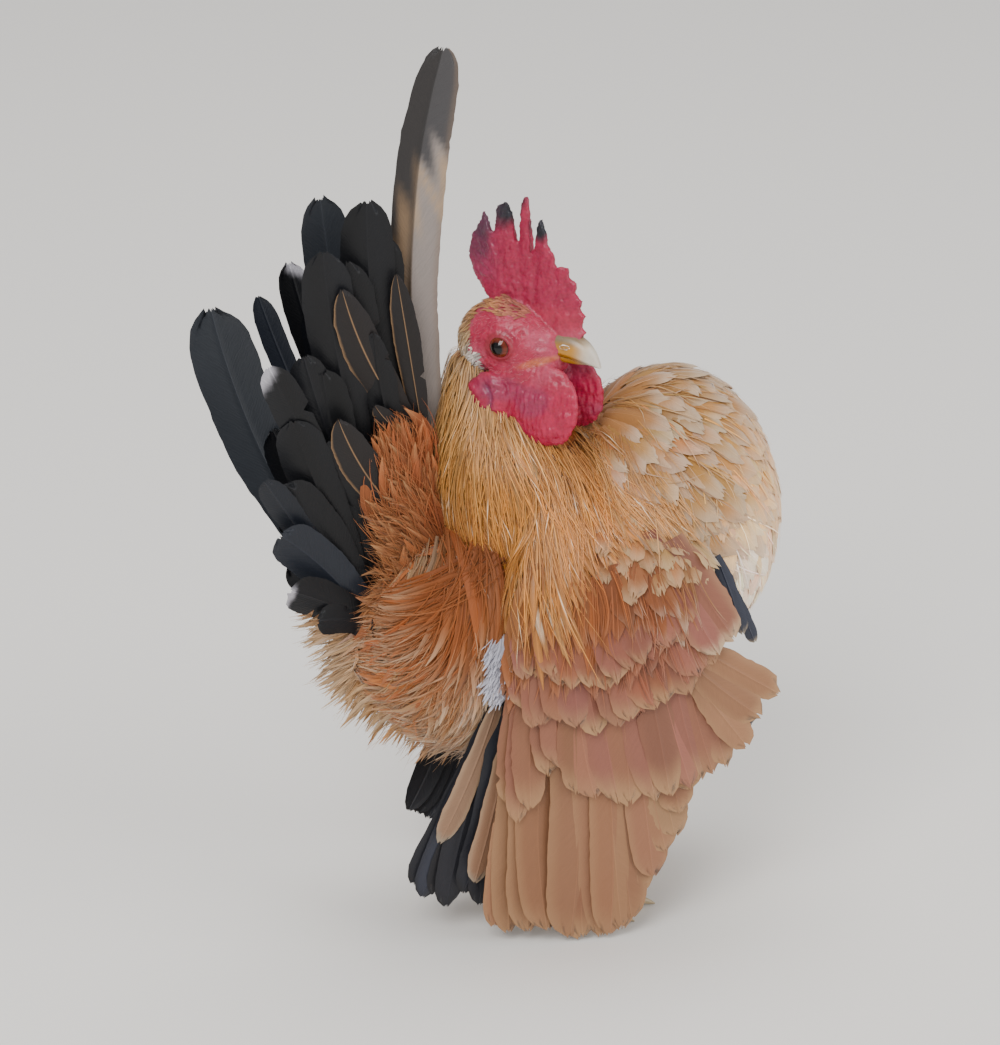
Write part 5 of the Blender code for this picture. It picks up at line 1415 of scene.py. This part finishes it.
def graded(node, factor, low, high):
    colour = node("ValToRGB", factor)
    for stop, code in zip(colour.node.color_ramp.elements, (low, high)):
        stop.color = (*linear(code), 1)
    return colour


def scalePaint():
    # Scaled leg skin: dry, waxy, pale yellow plates with darker lines between
    made, node, link = newMaterial("dryScaledSkin", {"Roughness": 0.48, "Subsurface Weight": 0.08,
                                                     "Subsurface Scale": 0.001})
    place = node("TexCoord", out="Object")
    cells = node("TexVoronoi", feature="DISTANCE_TO_EDGE", Scale=900.0, Vector=place)
    blotch = node("TexNoise", Scale=220.0, Detail=3.0, Vector=place)
    seam = node("ADD", node("MULTIPLY", node("MINIMUM", node("MULTIPLY", cells, 6.0), 1.0), 0.3), 0.7)
    surfaced(node, link, graded(node, blotch, "#B99A62", "#E2CC98"), seam, seam, 0.4, 0.3)
    return made


def clawPaint():
    # Dark horn: hard and a little glossy, in streaks of brown
    made, node, link = newMaterial("darkHorn", {"Roughness": 0.34})
    grain = node("TexNoise", Scale=300.0, Detail=5.0, Vector=node("TexCoord", out="Object"))
    surfaced(node, link, graded(node, grain, "#8A7558", "#CDB890"), None, grain, 0.2, 0.2)
    return made


def platesOn(path, radii, count, arc, front):
    # Overlapping half-round plates along a shank or toe
    share, a, plates = np.linspace(0, 1, len(path)), np.linspace(-arc, arc, 11)[:, None], []
    for k in range(count):
        t = np.linspace(max((k - 0.05) / count, 0), min((k + 0.98) / count, 1), 5)
        centre, near, back = (np.stack([np.interp(at, share, column) for column in path.T], -1)
                              for at in (t, np.minimum(t + 0.02, 1), np.maximum(t - 0.02, 0)))
        ahead = unit(near - back)
        across = unit(np.cross(ahead, front))
        over = np.cross(across, ahead)
        over = over * np.where(over @ np.array(front) < 0, -1, 1)[:, None]
        lift = np.array((0.10, 0.34, 0.42, 0.36, -0.1))[:, None, None] * np.cos(a / arc * pi / 2) ** 0.5
        high = np.interp(t, share, radii)[:, None, None] + lift
        plates.append(centre[:, None] + high * (over[:, None] * np.cos(a) + across[:, None] * np.sin(a)))
    return plates


def makeLeg(side, name, scale, horn):
    form, upright = legForm, np.array((0, 0, 1.0))
    hock, foot = legPoint("hock", side), legPoint("foot", side)
    t = np.linspace(-0.12, 1, 30)
    shank = hock + (foot - hock) * t[:, None]
    radii = form["radius"] + 0.9 * np.clip(1 - np.abs(t) * 4, 0, 1) + 0.8 * np.clip(t * 4 - 3, 0, 1)
    plates = platesOn(shank[3:], radii[3:], 11, 1.25, (1.0, 0, 0.25))
    plates += platesOn(shank[3:], radii[3:], 12, 0.9, (-1.0, 0, -0.25))
    tubes = [tube(tubeRings(np.vstack([shank, foot + (1.5, 0, -3.6)]), np.append(radii, form["radius"] * 1.05), 20))]
    nails = []
    s = np.linspace(0, 1, 24)
    share = np.linspace(0, 1, 16)[:, None]
    for _, turn, length, radius in form["toes"]:
        ahead = np.array((cos(radians(turn)), side * sin(radians(turn)), 0))
        thick = radius * (1 + 0.10 * np.cos(s * max(2, round(length / 9)) * 2 * pi)) * (1 - 0.28 * s)
        ground = foot * (1, 1, 0)
        middle = ground + ahead * (length * s)[:, None] + upright * (thick * 0.98)[:, None]
        middle[:, 2] += 1.6 * np.exp(-((s / 0.15) ** 2))
        tubes.append(tube(tubeRings(middle, thick, 16, upright)))
        plates += platesOn(middle[3:], thick[3:], int(length / 2.2), 1.15, upright)
        path = ground + ahead * (length + form["claw"] * share - 2.6) + upright * radius * (0.85 - 0.72 * share**2)
        thick = np.interp(share[:, 0], (0, 0.35, 0.7, 1), (1.45, 1.3, 0.85, 0.22))
        path[:, 2] = np.maximum(path[:, 2], thick)
        nails.append(tube(tubeRings(path, thick, 14, upright)))
    points, faces, _ = remeshed(tubes, 0.45, 3)
    starts = len(points) + 55 * np.arange(len(plates))[:, None, None]  # 5 rings of 11 points in each plate
    faces = np.vstack([faces, (gridFaces(5, 11) + starts).reshape(-1, 4)])
    points = np.vstack([points, np.array(plates).reshape(-1, 3)])
    points[:, 2] = np.maximum(points[:, 2], 0.0)
    meshPiece("leg" + name, points, faces, scale, ("foot_" + name,))
    share = np.linspace(0, 1, 14)[:, None]
    spur = (hock + (foot - hock) * form["spurPlace"] + unit(np.array((-0.75, -0.6 * side, 0.1)))
            * (1.2 + form["spur"] * share) + 1.2 * upright * share**2)
    thick = np.interp(share[:, 0], (0, 0.5, 1), (1.9, 1.35, 0.3))
    points, faces, _ = remeshed([*nails, tube(tubeRings(spur, thick, 14, upright))], 0.22, 2)
    meshPiece("claws" + name, points, faces, horn,
              [*["claw_" + toe[0] + "_" + name for toe in form["toes"]], "spur_" + name])


scale, horn = scalePaint(), clawPaint()
for side, name in ((-1, "R"), (1, "L")):
    makeLeg(side, name, scale, horn)

# Floor, light and camera


def makeStage():
    ground, _, _ = newMaterial("paleMattPaint", {"Base Color": (*linear("#E4E0DA"), 1), "Roughness": 0.85})
    floor = newObject("floor", [(-6, -6, 0), (6, -6, 0), (6, 6, 0), (-6, 6, 0)], [(0, 1, 2, 3)])
    floor.data.materials.append(ground)
    world = bpy.data.worlds.new("softStudio")
    bpy.context.scene.world = world
    world.use_nodes = True
    sky = world.node_tree.nodes["Background"]
    sky.inputs["Color"].default_value = (*linear("#E6E8EC"), 1)
    sky.inputs["Strength"].default_value = 0.74
    for name, spot, size, power in (("key", (-0.9, -1.5, 1.7), 1.1, 44.0), ("fill", (1.6, -1.1, 0.9), 1.4, 22.0),
                                    ("top", (0.1, 0.4, 2.0), 1.2, 20.0)):
        lamp = bpy.data.lights.new(name, "AREA")
        lamp.size, lamp.energy = size, power
        light = bpy.data.objects.new(name, lamp)
        light.location = spot
        light.rotation_euler = (Vector(spot) - Vector((0, 0, 0.13))).to_track_quat("Z", "Y").to_euler()
        bpy.context.scene.collection.objects.link(light)


def makeCamera():
    back = Vector(viewAxes()[2])
    camera = bpy.data.objects.new("camera", bpy.data.cameras.new("camera"))
    camera.location = Vector((view["aim"] + toRow) / 1000) + back * view["distance"]
    camera.rotation_euler = back.to_track_quat("Z", "Y").to_euler()
    camera.data.lens, camera.data.clip_start = view["lens"], 0.01
    bpy.context.scene.collection.objects.link(camera)
    bpy.context.scene.camera = camera


makeStage()
makeCamera()
print("stage ready")
bpy.context.view_layer.update()
